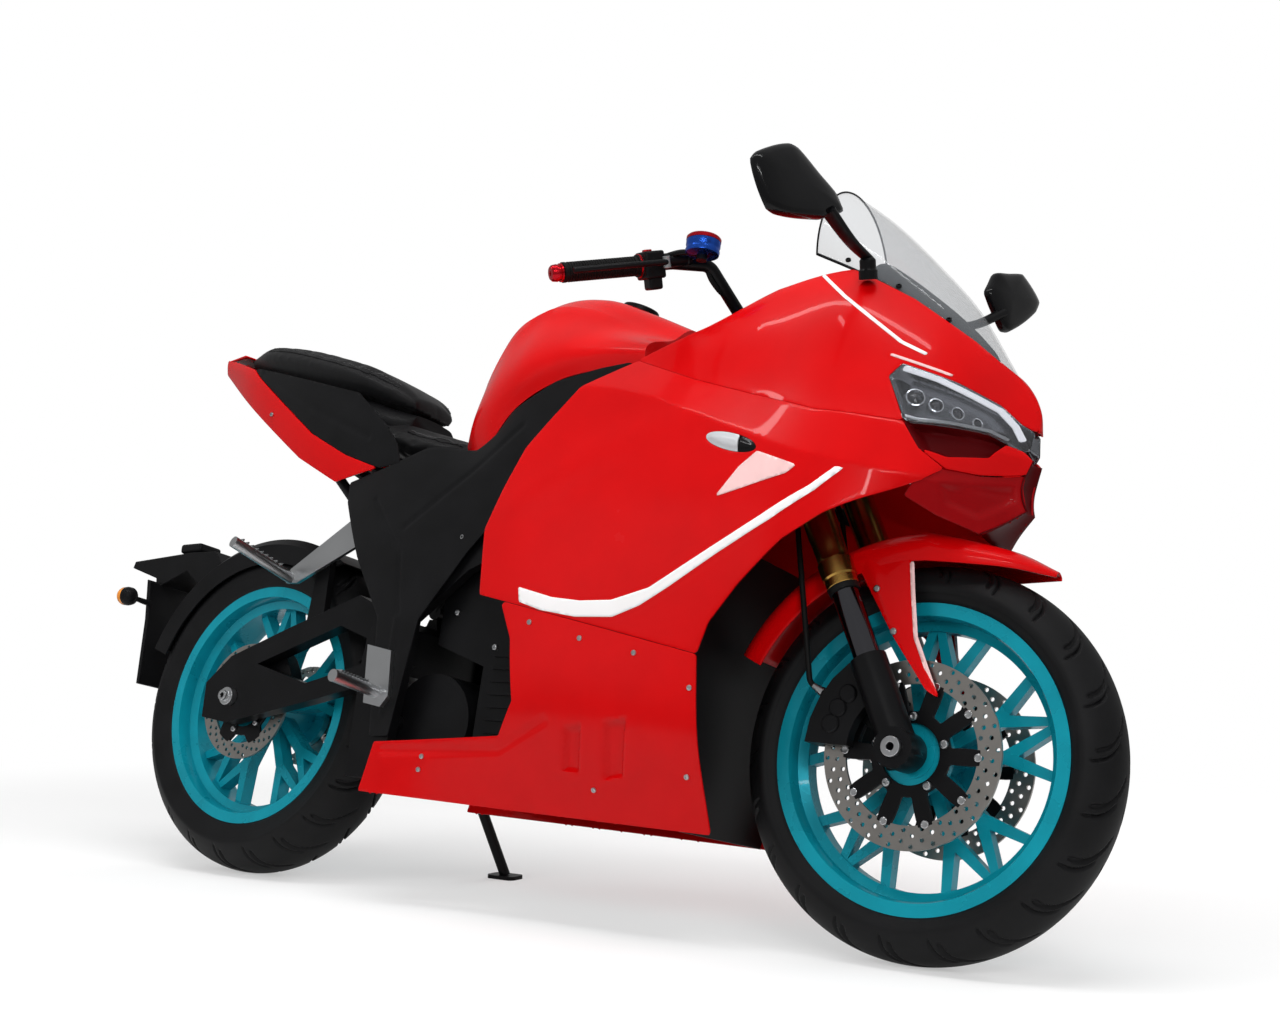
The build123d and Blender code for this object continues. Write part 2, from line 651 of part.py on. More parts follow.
# Windscreen: crescents joined into a bubble
SCREEN = [(1474, 20, 899, 910), (1405, 72, 956, 1020), (1330, 103, 1008, 1106), (1250, 123, 1052, 1186),
          (1172, 133, 1090, 1248)]
with BuildPart() as windscreen:
    for x, half, edge, crown in SCREEN:
        with BuildSketch(Plane.YZ.offset(x)):
            with BuildLine():
                ThreePointArc((-half, edge), (0, crown), (half, edge))
                Line((half, edge), (half - 3, edge))
                ThreePointArc((half - 3, edge), (0, crown - 3), (3 - half, edge))
                Line((3 - half, edge), (-half, edge))
            make_face()
    loft()
    add(both_sides(trimmed(skin(FAIRING, SKIN + 0.8, -0.4), NOSE_SIDE)), mode=Mode.SUBTRACT)
keep("windscreen", windscreen.part)

# Dash panel under the screen, with the display
with BuildPart() as dash_panel:
    with BuildSketch(Plane.XZ.offset(-170)):
        outline([(1395, 905), (1330, 962), (1215, 1006), (1215, 1000), (1328, 955), (1392, 899)])
    extrude(amount=340)
    with BuildSketch(Plane.XZ.offset(-70)):
        outline([(1215, 1010), (1228, 995), (1192, 974), (1160, 992), (1166, 1002), (1194, 987)])
    extrude(amount=140)
    add(both_sides(skin(FAIRING, 90 + SKIN + 0.4, -90)), mode=Mode.SUBTRACT)
keep("dash_panel", dash_panel.part)

# Side and belly fairings
FAIRING_SIDE = SHOULDER + ARCH + SEAM + [(625, 619), (655, 692), (688, 762), (735, 815), (782, 865)]
LAMP_X, LAMP_Z = 1111.0, 742.0
with BuildPart() as side_fairing:
    add(trimmed(panel_skin, FAIRING_SIDE))
    with BuildSketch(Plane.XZ.offset(-300)):
        with Locations(Location((LAMP_X, LAMP_Z, 0), (0, 0, -16))):
            Ellipse(50.4, 14.4)
    extrude(amount=160, mode=Mode.SUBTRACT)
keep("side_fairings", both_sides(side_fairing.part))
with BuildPart() as indicator:
    with BuildSketch(Plane.XZ.offset(-236)):
        with Locations(Location((LAMP_X, LAMP_Z, 0), (0, 0, -16))):
            Ellipse(50, 14)
    extrude(amount=18)
keep("front_indicators", both_sides(indicator.part))
BELLY_SIDE = [(x, z - 0.7) for x, z in SEAM[:4]]
BELLY_SIDE += [(692, 487), (720, 430), (733, 328), (702, 272), (420, 250), (394, 160), (392, 130),
               (1098, 130), (1090, 280)]
keep("belly_fairings", both_sides(trimmed(panel_skin, BELLY_SIDE)))

# Black shield behind the front wheel, closing the front of the belly
with BuildPart() as front_shield:
    with BuildSketch(Plane.YZ.offset(1040)):
        outline([(-140, 150), (140, 150), (230, 330), (230, 620), (-230, 620), (-230, 330)])
    extrude(amount=5)
    add(both_sides(skin(FAIRING, 90 + SKIN + 0.4, -90)), mode=Mode.SUBTRACT)
keep("front_shield", front_shield.part)

# Stays that hold the fairing off the frame
with BuildPart() as stay:
    add(rod((905, PLATE_OUT + FIT_GAP, 840), (905, 230, 840), 9))
    add(rod((720, PLATE_OUT + FIT_GAP, 700), (720, 230, 700), 9))
    add(rod((640, CASE_HALF + FIT_GAP, 230), (640, 200, 230), 9))
    add(rod((980, CASE_HALF + FIT_GAP, 300), (980, 220, 300), 9))
    add(skin(FAIRING, 60 + SKIN + 0.4, -60), mode=Mode.SUBTRACT)
with BuildPart() as fairing_stays:
    add(both_sides(stay.part))
keep("fairing_stays", fairing_stays.part)

# Mirrors, each turned as its rider left it: shell outline from the inner lower corner round
MIRROR_HEADS = {
    -1: [(1273, 245, 1099), (1266, 258, 1120), (1252, 296, 1140), (1234, 343, 1166), (1230, 357, 1167),
         (1214, 420, 1125), (1213, 427, 1113), (1231, 394, 1044), (1235, 382, 1041), (1262, 289, 1069)],
    1: [(1316, 255, 1144), (1310, 245, 1165), (1311.5, 256.5, 1187), (1313, 268, 1209), (1323, 304, 1222),
        (1333, 340, 1235), (1353, 388, 1194), (1352, 379, 1174), (1334, 302, 1107), (1330, 285, 1103)],
}
MIRROR_FOOT = (1276, 145, 1058)
MIRROR_T = 17.0
with BuildPart() as mirrors:
    for side, points in MIRROR_HEADS.items():
        corners = [Vector(x, y, z) for x, y, z in points]
        face = Plane(origin=corners[0], x_dir=corners[6] - corners[0],
                     z_dir=(corners[6] - corners[0]).cross(corners[3] - corners[0]))
        flat = [face.to_local_coords(corner) for corner in corners]
        with BuildPart(mode=Mode.PRIVATE) as pair_half:
            with BuildSketch(face):
                outline([(p.X, p.Y) for p in flat])
            extrude(amount=MIRROR_T / 2, both=True)
            root = corners[0] * 0.5 + corners[9] * 0.5 + (corners[5] - corners[0]).normalized() * 14
            add(rod(root, MIRROR_FOOT, 11))
            with BuildSketch(Plane(origin=(1272, 126, 1024), x_dir=(1, 0, -0.5), z_dir=(0.1, 0.5, 0.8))):
                Rectangle(38, 22)
            extrude(amount=42)
            add(skin(FAIRING, 80.4, -0.4), mode=Mode.SUBTRACT)
        if side > 0:
            add(pair_half.part)
        else:
            mirror(pair_half.part, about=Plane.XZ)
keep("mirrors", mirrors.part)

# Footrests
with BuildPart() as rider_peg:
    add(slab([(372, 420), (430, 410), (440, 330), (425, 310), (385, 316)], COVER_Y + FIT_GAP, 170))
    add(rod((408, 164, 336), (404, 275, 345), 11))
keep("rider_footrests", both_sides(rider_peg.part))
with BuildPart() as passenger_peg:
    add(slab([(330, 640), (290, 690), (262, 690), (90, 572), (84, 545), (112, 545), (285, 632)], 112, 120))
    add(rod((94, 116, 554), (68, 254, 592), 11))
    add(rod((276, 108.8, 647), (276, 114, 647), 9))
keep("passenger_footrests", both_sides(passenger_peg.part))

# Rear mudguard, plate bracket and rear indicators
GUARD_R = REAR_TYRE_R + 6.5
GUARD = [(84, GUARD_R - 50), (84, GUARD_R - 12), (66, GUARD_R + 3), (-66, GUARD_R + 3), (-84, GUARD_R - 12),
         (-84, GUARD_R - 50), (-80.5, GUARD_R - 50), (-80.5, GUARD_R - 14), (-64, GUARD_R), (64, GUARD_R),
         (80.5, GUARD_R - 14), (80.5, GUARD_R - 50)]
GUARD_STRUT = [(132, 452), (176, 468), (168, 600), (138, 600)]
with BuildPart() as rear_mudguard:
    for turn, sweep_arc in ((-1, 72), (1, 32)):
        with BuildSketch(Plane(origin=REAR_AXLE, x_dir=(0, 1, 0), z_dir=(1, 0, 0))):
            outline(GUARD)
        revolve(axis=Axis((0, 0, REAR_TYRE_R), (0, turn, 0)), revolution_arc=sweep_arc)
    add(both_sides(slab(GUARD_STRUT, 80.5, ARM_IN - FIT_GAP)))
keep("rear_mudguard", rear_mudguard.part)
guard_top = [polar(GUARD_R + 3.6, a) for a in (124, 130, 136)]
BRACKET_SIDE = [(x, REAR_TYRE_R + z) for x, z in guard_top]
BRACKET_SIDE += [(-300, 590), (-372, 560), (-356, 480), (-344, 345), (-352, 344), (-366, 480), (-392, 575),
                 (-474, 598), (-470, 612), (-300, 630), (-222, 632)]
PLATE_HALF = 70.0
PLATE_SIDE = [(-372, 560), (-356, 480), (-344, 345), (-352, 344), (-366, 480), (-384, 566)]
with BuildPart() as plate_bracket:
    with BuildSketch(Plane.XZ.offset(-42)):
        outline(BRACKET_SIDE)
    extrude(amount=84)
    with BuildSketch(Plane.XZ.offset(-PLATE_HALF)):
        outline(PLATE_SIDE)
    extrude(amount=2 * PLATE_HALF)
keep("plate_bracket", plate_bracket.part)
with BuildPart() as rear_lamp:
    add(rod((-364, PLATE_HALF + FIT_GAP, 512), (-364, 116, 515), 4.5))
    add(rod((-374, 130, 515), (-338, 130, 515), 19))
keep("rear_indicators", both_sides(rear_lamp.part))

# Steering assembly
with BuildPart() as triple_clamps:
    for low in (HEAD_LOW - CLAMP_T - FIT_GAP, HEAD_TOP + FIT_GAP):
        with BuildSketch(steer_plane(low)):
            outline([(-34, -26), (-34, 26), (0, FORK_Y + 30), (CLAMP_OFFSET + 34, FORK_Y + 30),
                     (CLAMP_OFFSET + 34, FORK_Y - 26), (CLAMP_OFFSET + 14, 0),
                     (CLAMP_OFFSET + 34, 26 - FORK_Y), (CLAMP_OFFSET + 34, -FORK_Y - 30),
                     (0, -FORK_Y - 30)])
        extrude(amount=CLAMP_T)
    with BuildSketch(steer_plane(HEAD_LOW - CLAMP_T)):
        Circle(STEM_R)
    extrude(amount=HEAD_TOP - HEAD_LOW + 2 * CLAMP_T + 6)
    with BuildSketch(steer_plane(HEAD_LOW - 100)):
        with Locations((CLAMP_OFFSET, FORK_Y), (CLAMP_OFFSET, -FORK_Y)):
            Circle(OUTER_TUBE_R + 0.1)
    extrude(amount=400, mode=Mode.SUBTRACT)
keep("triple_clamps", triple_clamps.part)


def fork_bar(low, high, radius, bore=0.0):
    """Left-hand round length on the fork line, solid or bored."""
    with BuildPart() as length:
        with BuildSketch(steer_plane(low)):
            with Locations((CLAMP_OFFSET, FORK_Y)):
                Circle(radius)
                if bore:
                    Circle(bore, mode=Mode.SUBTRACT)
        extrude(amount=high - low)
    return length.part


keep("fork_outer_tubes", both_sides(fork_bar(OUTER_LOW, FORK_TOP, OUTER_TUBE_R)))
keep("fork_inner_tubes", both_sides(fork_bar(45, OUTER_LOW - FIT_GAP, INNER_TUBE_R)))
with BuildPart() as fork_foot:
    add(fork_bar(44, FOOT_TOP, FOOT_R, INNER_TUBE_R + 0.1))
    add(fork_bar(-20, 44, FOOT_R))
    with BuildSketch(Plane.XZ.offset(-(FORK_Y + FOOT_R))):
        with Locations((WHEELBASE, FRONT_TYRE_R)):
            Circle(30)
    extrude(amount=2 * FOOT_R)
    with BuildSketch(Plane.XZ.offset(-200)):
        with Locations((WHEELBASE, FRONT_TYRE_R)):
            Circle(AXLE_R + 0.1)
    extrude(amount=200, mode=Mode.SUBTRACT)
keep("fork_feet", both_sides(fork_foot.part))
with BuildPart() as front_axle:
    with BuildSketch(Plane.XZ.offset(-(FORK_Y + 30))):
        with Locations((WHEELBASE, FRONT_TYRE_R)):
            Circle(AXLE_R)
    extrude(amount=2 * (FORK_Y + 30))
    foot_out, foot_in = FORK_Y + FOOT_R, FORK_Y - FOOT_R
    for low, high, radius in ((foot_out + FIT_GAP, foot_out + 9, 15), (72, foot_in - FIT_GAP, 15)):
        with BuildSketch(Plane.XZ.offset(-high)):
            with Locations((WHEELBASE, FRONT_TYRE_R)):
                Circle(radius)
        extrude(amount=high - low)
        with BuildSketch(Plane.XZ.offset(low)):
            with Locations((WHEELBASE, FRONT_TYRE_R)):
                Circle(radius)
        extrude(amount=high - low)
    with BuildSketch(Plane.XZ.offset(-200)):
        with Locations((WHEELBASE, FRONT_TYRE_R)):
            Circle(6)
    extrude(amount=400, mode=Mode.SUBTRACT)
keep("front_axle", front_axle.part)


def ring_sector(centre, inner, outer, start, end):
    """Corners of a ring sector in side view."""
    steps = [start + (end - start) * i / 4 for i in range(5)]
    points = [polar(outer, a) for a in steps] + [polar(inner, a) for a in steps[::-1]]
    return [(centre.X + x, centre.Z + z) for x, z in points]


with BuildPart() as caliper:
    add(slab(ring_sector(FRONT_AXLE, 92, 162, 128, 178), 48, 96))
    add(slab(ring_sector(FRONT_AXLE, 60, FRONT_DISC_R + 6, 120, 186), FRONT_DISC_Y - 8, FRONT_DISC_Y + 8),
        mode=Mode.SUBTRACT)
    add(slab(ring_sector(FRONT_AXLE, 96, 150, 118, 134), 84, 96))
    add(fork_bar(-60, 320, FOOT_R + FIT_GAP), mode=Mode.SUBTRACT)
keep("front_calipers", both_sides(caliper.part))
with BuildPart() as rear_caliper:
    add(slab(ring_sector(REAR_AXLE, 74, 130, 18, 62), 66, ARM_IN - FIT_GAP))
    add(slab(ring_sector(REAR_AXLE, 50, REAR_DISC_R + 6, 10, 70), REAR_DISC_Y - 8, REAR_DISC_Y + 8),
        mode=Mode.SUBTRACT)
keep("rear_caliper", mirror(rear_caliper.part, about=Plane.XZ))

# Front fender
FENDER_R = FRONT_TYRE_R + 26
FENDER_ARM = [(1262, 600), (1330, 612), (1372, 614), (1362, 590), (1380, 470), (1428, 378), (1404, 392),
              (1345, 470)]
FENDER_HALF = 78.5
FENDER_T = 3.0
FENDER = [(22, FENDER_R + 19), (62, FENDER_R + 12), (FENDER_HALF, FENDER_R - 6), (FENDER_HALF, FENDER_R - 34)]
FENDER_IN = [(21, FENDER_R + 16), (60, FENDER_R + 9), (FENDER_HALF - 3, FENDER_R - 8),
             (FENDER_HALF - 3, FENDER_R - 34)]
BEAK = [  # ahead of the axle: forward, then half-sections above the axle from the crown down to the lip
    (0, FENDER),
    (65, [(20, 330), (54, 323), (70, 305), (70, 287)]),
    (125, [(14, 315), (36, 308), (48, 296), (48, 285)]),
    (181, [(5, 288), (9, 286), (12, 283), (12, 279)]),
]


def across(points):
    """Full section from a half-section listed from the crown down: right lip, crown, left lip."""
    return [(-y, z) for y, z in points[::-1]] + points


beak_stations = []
for ahead, points in BEAK:
    beak_stations.append((WHEELBASE + ahead, across([(y, FRONT_TYRE_R + z) for y, z in points])))
with BuildPart() as front_fender:
    with BuildSketch(Plane(origin=FRONT_AXLE, x_dir=(0, 1, 0), z_dir=(1, 0, 0))):
        outline(across(FENDER) + across(FENDER_IN)[::-1])
    revolve(axis=Axis((WHEELBASE, 0, FRONT_TYRE_R), (0, -1, 0)), revolution_arc=65)
    add(skin(beak_stations, FENDER_T))
    add(both_sides(slab(FENDER_ARM, FENDER_HALF - 3, FENDER_HALF)))
keep("front_fender", front_fender.part)

# Brake hoses from the calipers up behind the fork to the lower clamp
HOSE_R = 4.5
HOSE_Y = 89.0
hose_out = Vector(math.cos(math.radians(150)), 0, math.sin(math.radians(150)))
hose_start = FRONT_AXLE + hose_out * 162.3 + Vector(0, HOSE_Y, 0)
hose_end = steer_point(HEAD_LOW - CLAMP_T - 3 * FIT_GAP, 2, HOSE_Y - 3)
hose_path = [hose_start, hose_start + hose_out * 30, hose_end - STEER_DIR * 70, hose_end]
keep("brake_hoses", both_sides(tube(hose_path, 20, HOSE_R)))

# Handlebar, grips and controls
BAR_MID = steer_point(HEAD_TOP + CLAMP_T + 74, 4)
BAR_KNEE = Vector(972, 140, 1090)
GRIP_IN = Vector(893, 232, 1060)
GRIP_OUT = Vector(818, 338, 1012)
grip_dir = (GRIP_OUT - GRIP_IN).normalized()
with BuildPart() as bar_half:
    with BuildLine() as bar_path:
        FilletPolyline((BAR_MID.X, 0, BAR_MID.Z), (BAR_MID.X, 60, BAR_MID.Z), BAR_KNEE,
                       GRIP_IN - grip_dir * 62, GRIP_IN, radius=24)
    with BuildSketch(Plane(origin=bar_path.line @ 0, z_dir=bar_path.line % 0)):
        Circle(11)
    sweep()
    riser_low = steer_point(HEAD_TOP + CLAMP_T + 2 * FIT_GAP, 4, 38)
    riser_top = steer_point(HEAD_TOP + CLAMP_T + 92, 4, 38)
    add(rod(riser_low, riser_top, 17))
keep("handlebar", both_sides(bar_half.part))
keep("grips", both_sides(rod(GRIP_IN + grip_dir * FIT_GAP, GRIP_OUT, 17)))
bar_fwd = (Vector(1, 0, 0) - grip_dir * grip_dir.X).normalized()
bar_up = grip_dir.cross(bar_fwd) * (1 if grip_dir.cross(bar_fwd).Z > 0 else -1)


def bar_ring(near, far, radius):
    """Collar on the straight of the left bar, set by distances in from the grip."""
    with BuildPart() as ring:
        with BuildSketch(Plane(origin=GRIP_IN - grip_dir * far, z_dir=grip_dir)):
            Circle(radius)
            Circle(11 + FIT_GAP, mode=Mode.SUBTRACT)
        extrude(amount=far - near)
    return ring.part


keep("switch_housings", both_sides(bar_ring(0.6, 20, 21)))
lever_root = GRIP_IN - grip_dir * 30
POT_FOOT = Vector(985, 186, 1092)
POT_TALL = 26.0
POT_R = 26.0
with BuildPart() as lever:
    add(bar_ring(21, 38, 17))
    add(tube([lever_root + bar_fwd * 14, lever_root + bar_fwd * 52, lever_root + bar_fwd * 56 + grip_dir * 80,
              lever_root + bar_fwd * 44 + grip_dir * 165], 10, 5))
keep("brake_levers", both_sides(lever.part))
with BuildPart() as reservoir:
    pot = lever_root + bar_up * 17.4
    add(tube([pot, pot + bar_up * 22, POT_FOOT], 8, 5))
    add(rod(POT_FOOT - Vector(0, 0, 4), POT_FOOT + Vector(0, 0, POT_TALL), POT_R))
keep("brake_reservoir", mirror(reservoir.part, about=Plane.XZ))
keep("bar_ends", both_sides(rod(GRIP_OUT + grip_dir * FIT_GAP, GRIP_OUT + grip_dir * 20, 14)))

# Side stand, foot flat on the floor once the machine leans
foot = Vector(STAND_FOOT_X, STAND_FOOT_Y, STAND_FOOT_Y * math.tan(math.radians(LEAN)))
floor_up = Vector(0, -math.sin(math.radians(LEAN)), math.cos(math.radians(LEAN)))
stand_eye = STAND_PIVOT + STAND_AXIS * 8
REAR_CROWN_R = (REAR_TYRE_W**2 / 4 + REAR_CROWN_DROP**2) / (2 * REAR_CROWN_DROP)
floor_drop = REAR_CROWN_R * (1 - math.cos(math.radians(LEAN)))
foot_low = foot - floor_up * floor_drop
with BuildPart() as side_stand:
    with BuildSketch(Plane(origin=STAND_PIVOT + STAND_AXIS * FIT_GAP, z_dir=STAND_AXIS)):
        Circle(18)
    extrude(amount=16)
    add(rod(stand_eye, foot_low + floor_up * 6, 10))
    with BuildSketch(Plane(origin=foot_low, x_dir=(1, 0, 0), z_dir=floor_up)):
        RectangleRounded(64, 42, 12)
    extrude(amount=7)
    with BuildSketch(Plane(origin=STAND_PIVOT - STAND_AXIS * 30, z_dir=STAND_AXIS)):
        Circle(7 + RUNNING_GAP)
    extrude(amount=80, mode=Mode.SUBTRACT)
    with BuildSketch(Plane(origin=STAND_PIVOT + STAND_AXIS * 16.6, z_dir=STAND_AXIS)):
        Circle(19)
    extrude(amount=14, mode=Mode.SUBTRACT)
    with BuildSketch(Plane(origin=STAND_PIVOT - STAND_AXIS * 30, z_dir=STAND_AXIS)):
        Circle(21)
    extrude(amount=30 + FIT_GAP, mode=Mode.SUBTRACT)
keep("side_stand", side_stand.part)

# Lean the machine onto its stand and centre it over the origin
leaned = Location((0, 0, floor_drop)) * Location((0, 0, 0), (-LEAN, 0, 0))
boxes = [(leaned * solid).bounding_box() for solid in PIECES.values()]
SHIFT = Vector(-(min(b.min.X for b in boxes) + max(b.max.X for b in boxes)) / 2,
               -(min(b.min.Y for b in boxes) + max(b.max.Y for b in boxes)) / 2,
               -min(b.min.Z for b in boxes))
PARK = Location(SHIFT) * leaned


def parked(point):
    """A point of the upright frame, where it stands once the machine is parked."""
    return (PARK * Location(Vector(*point))).position


if __name__ == "__main__":
    for name, solid in PIECES.items():
        placed = PARK * solid
        placed.label = name
        export_step(placed, f"parts/{name}.step")
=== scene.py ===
"""Looks of a fully faired electric sport motorcycle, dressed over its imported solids.

Sizes are millimetres in the machine's upright frame: X forward from the rear axle, Y to the rider's
left, Z up from the floor. ParkedFrame leans them onto the side stand and turns them into metres.
"""

import json
import logging
import math
from dataclasses import dataclass, field
from enum import Enum
from typing import Callable, Optional, Sequence

import bmesh
import bpy
import numpy as np
from mathutils import Matrix, Vector
from mathutils.bvhtree import BVHTree
from mathutils.geometry import delaunay_2d_cdt


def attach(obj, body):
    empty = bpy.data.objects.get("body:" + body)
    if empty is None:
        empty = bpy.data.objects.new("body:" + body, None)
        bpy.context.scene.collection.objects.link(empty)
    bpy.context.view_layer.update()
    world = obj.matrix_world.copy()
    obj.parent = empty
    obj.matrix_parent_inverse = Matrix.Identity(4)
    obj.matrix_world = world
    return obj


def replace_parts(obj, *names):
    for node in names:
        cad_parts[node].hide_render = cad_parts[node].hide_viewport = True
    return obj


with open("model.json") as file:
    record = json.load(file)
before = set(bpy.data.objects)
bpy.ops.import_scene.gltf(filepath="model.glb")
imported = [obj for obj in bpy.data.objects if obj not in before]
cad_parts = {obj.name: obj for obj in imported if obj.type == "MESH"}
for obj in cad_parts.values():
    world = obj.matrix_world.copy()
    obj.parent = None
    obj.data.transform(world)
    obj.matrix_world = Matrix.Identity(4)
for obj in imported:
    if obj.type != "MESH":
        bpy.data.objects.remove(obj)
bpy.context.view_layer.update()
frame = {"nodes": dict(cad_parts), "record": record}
NODES = frame["nodes"]
LOG = logging.getLogger("motorcycle")

Point2 = tuple[float, float]
Colour = tuple[float, float, float]
Feature = Callable[[np.ndarray, np.ndarray], np.ndarray]
Shape = tuple[np.ndarray, list[tuple[int, ...]]]


def preset(rows: object) -> object:
    """Dataclass field whose default is a fresh copy of a table."""
    return field(default_factory=lambda: type(rows)(rows))


class Body(Enum):
    """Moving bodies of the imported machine."""

    CHASSIS = "chassis"
    STEERING = "steering"
    FRONT_WHEEL = "front_wheel"
    REAR_WHEEL = "rear_wheel"
    STAND = "side_stand"


class Grain(Enum):
    """Kinds of fine surface relief."""

    PEEL = "peel"
    CAST = "cast"
    LEATHER = "leather"
    FLAKE = "flake"


# Finishes

COAT_ROUGHNESS = 0.03
COAT_IOR = 1.33


class NodeSheet:
    """A material's node tree with short ways to add and join nodes."""

    def __init__(self, name: str) -> None:
        """Start a tree that holds a Principled shader and an output."""
        self.material = bpy.data.materials.new(name)
        self.material.use_nodes = True
        self.tree = self.material.node_tree
        self.tree.nodes.clear()
        self.output = self.add("ShaderNodeOutputMaterial")
        self.shader = self.add("ShaderNodeBsdfPrincipled")
        self.join(self.shader.outputs[0], self.output.inputs["Surface"])

    def add(self, kind: str, **inputs: object) -> bpy.types.Node:
        """Add a node and set the named input sockets.

        Args:
            kind: Blender's node type name.
            inputs: Socket values; an underscore in a name stands for a space.

        Returns:
            The new node.
        """
        node = self.tree.nodes.new(kind)
        for name, value in inputs.items():
            node.inputs[name.replace("_", " ")].default_value = value
        return node

    def join(self, source: bpy.types.NodeSocket, target: bpy.types.NodeSocket) -> None:
        """Link an output socket to an input socket."""
        self.tree.links.new(source, target)

    def ramp(self, source: bpy.types.NodeSocket,
             stops: Sequence[tuple[float, Sequence[float]]]) -> bpy.types.NodeSocket:
        """Turn a value into a colour through stops.

        Args:
            source: The value's output socket.
            stops: Pairs of place and colour.

        Returns:
            The colour's output socket.
        """
        node = self.add("ShaderNodeValToRGB")
        elements = node.color_ramp.elements
        while len(elements) < len(stops):
            elements.new(0.5)
        for element, (place, colour) in zip(elements, stops):
            element.position = place
            element.color = (*colour[:3], 1.0)
        self.join(source, node.inputs["Fac"])
        return node.outputs["Color"]

    def spread(self, source: bpy.types.NodeSocket, low: float, high: float) -> bpy.types.NodeSocket:
        """Map a value from 0..1 onto low..high and return the output socket."""
        node = self.add("ShaderNodeMapRange", To_Min=low, To_Max=high)
        self.join(source, node.inputs["Value"])
        return node.outputs["Result"]


@dataclass(frozen=True)
class Finish:
    """A surface: its colour, gloss and fine relief, and the record's slot it belongs to."""

    name: str
    colour: Colour
    roughness: float
    slot: Optional[str] = None
    metallic: float = 0.0
    coat: float = 0.0
    tone: float = 0.10
    tone_scale: float = 14.0
    drift: float = 0.05
    grain: Grain = Grain.CAST
    grain_scale: float = 900.0
    grain_depth: float = 0.03
    clear: float = 0.0
    alpha: float = 1.0
    glow: float = 0.0
    sheen: float = 0.0
    mirror: float = 0.5

    def material(self) -> bpy.types.Material:
        """The finish as a material, made once."""
        found = bpy.data.materials.get(self.name + "_finish")
        return found or self.build()

    def build(self) -> bpy.types.Material:
        """Lay out the node tree of the finish."""
        sheet = NodeSheet(self.name + "_finish")
        shader = sheet.shader
        values = {"Metallic": self.metallic, "Coat Weight": self.coat, "Coat Roughness": COAT_ROUGHNESS,
                  "Coat IOR": COAT_IOR, "Specular IOR Level": self.mirror, "Transmission Weight": self.clear,
                  "Alpha": self.alpha, "Sheen Weight": self.sheen}
        if self.glow:
            values |= {"Emission Color": (*self.colour, 1.0), "Emission Strength": self.glow}
        for socket, value in values.items():
            shader.inputs[socket].default_value = value
        place = sheet.add("ShaderNodeTexCoord").outputs["Object"]
        cloud = sheet.add("ShaderNodeTexNoise", Scale=self.tone_scale, Detail=4.0)
        sheet.join(place, cloud.inputs["Vector"])
        dark = [c * (1 - self.tone) for c in self.colour]
        pale = [min(1.0, c * (1 + self.tone)) for c in self.colour]
        sheet.join(sheet.ramp(cloud.outputs[0], [(0.3, dark), (0.7, pale)]), shader.inputs["Base Color"])
        low, high = max(0.0, self.roughness - self.drift), min(1.0, self.roughness + self.drift)
        sheet.join(sheet.spread(cloud.outputs[0], low, high), shader.inputs["Roughness"])
        self.relief(sheet, place)
        return sheet.material

    def relief(self, sheet: NodeSheet, place: bpy.types.NodeSocket) -> None:
        """Add the finish's grain as a bump of its real depth.

        Args:
            sheet: The material's tree.
            place: Output socket of the coordinates.
        """
        if self.grain in (Grain.LEATHER, Grain.FLAKE):
            pattern = sheet.add("ShaderNodeTexVoronoi", Scale=self.grain_scale)
        else:
            pattern = sheet.add("ShaderNodeTexNoise", Scale=self.grain_scale, Detail=3.0)
        sheet.join(place, pattern.inputs["Vector"])
        bump = sheet.add("ShaderNodeBump", Strength=0.6, Distance=self.grain_depth / 1000)
        sheet.join(pattern.outputs[0], bump.inputs["Height"])
        sheet.join(bump.outputs[0], sheet.shader.inputs["Normal"])


RED_GLOSS = Finish("red_gloss", (0.58, 0.001, 0.002), 0.26, "red_gloss", coat=0.4, mirror=0.08, tone=0.04,
                   drift=0.03, grain=Grain.PEEL, grain_scale=260, grain_depth=0.012)
# Painted shade: a dark copy of the body red, laid on the chin's hollow and the chin's front.
RED_PAINTED_SHADE = Finish("red_shaded", (0.075, 0.001, 0.002), 0.4, "red_gloss", mirror=0.1, tone=0.08)
# Painted half shade: a mid copy of the body red, laid on the chin's duct.
RED_PAINTED_HALF_SHADE = Finish("red_painted_half_shade", (0.30, 0.001, 0.003), 0.34, "red_gloss", coat=0.3, mirror=0.1, tone=0.08)
# White of the real side stripe, also used for the pale line on the nose, which is a painted highlight.
WHITE_STRIPE_AND_HIGHLIGHT = Finish("white_stripe_and_highlight", (0.88, 0.86, 0.86), 0.3, None, coat=0.6, tone=0.02)
# Painted highlight: pale pink for the patch on the side, the nose's brow line and the front edge of the fender's
# arms.
PAINTED_HIGHLIGHT_PINK = Finish("painted_highlight", (0.86, 0.55, 0.54), 0.3, None, coat=0.8, tone=0.06, tone_scale=30)
BLACK_SATIN = Finish("black_satin", (0.0035, 0.0035, 0.004), 0.34, "black_satin", mirror=0.2, tone=0.3,
                     grain_scale=1400, grain_depth=0.02)
BLACK_PLASTIC = Finish("black_plastic", (0.0045, 0.0045, 0.005), 0.44, "black_plastic", mirror=0.18, tone=0.25,
                       grain_scale=2600, grain_depth=0.05)
BLACK_GLOSS = Finish("black_gloss", (0.003, 0.003, 0.0035), 0.16, "black_plastic", coat=0.5, mirror=0.15,
                     tone=0.2)
TEAL = Finish("teal_metallic", (0.004, 0.30, 0.39), 0.28, "teal_metallic", metallic=0.3, coat=0.3, mirror=0.2,
              tone=0.10, grain=Grain.FLAKE, grain_scale=2200, grain_depth=0.01)
SILVER = Finish("silver", (0.56, 0.57, 0.58), 0.30, "silver", metallic=1.0, tone=0.05, grain_scale=700)
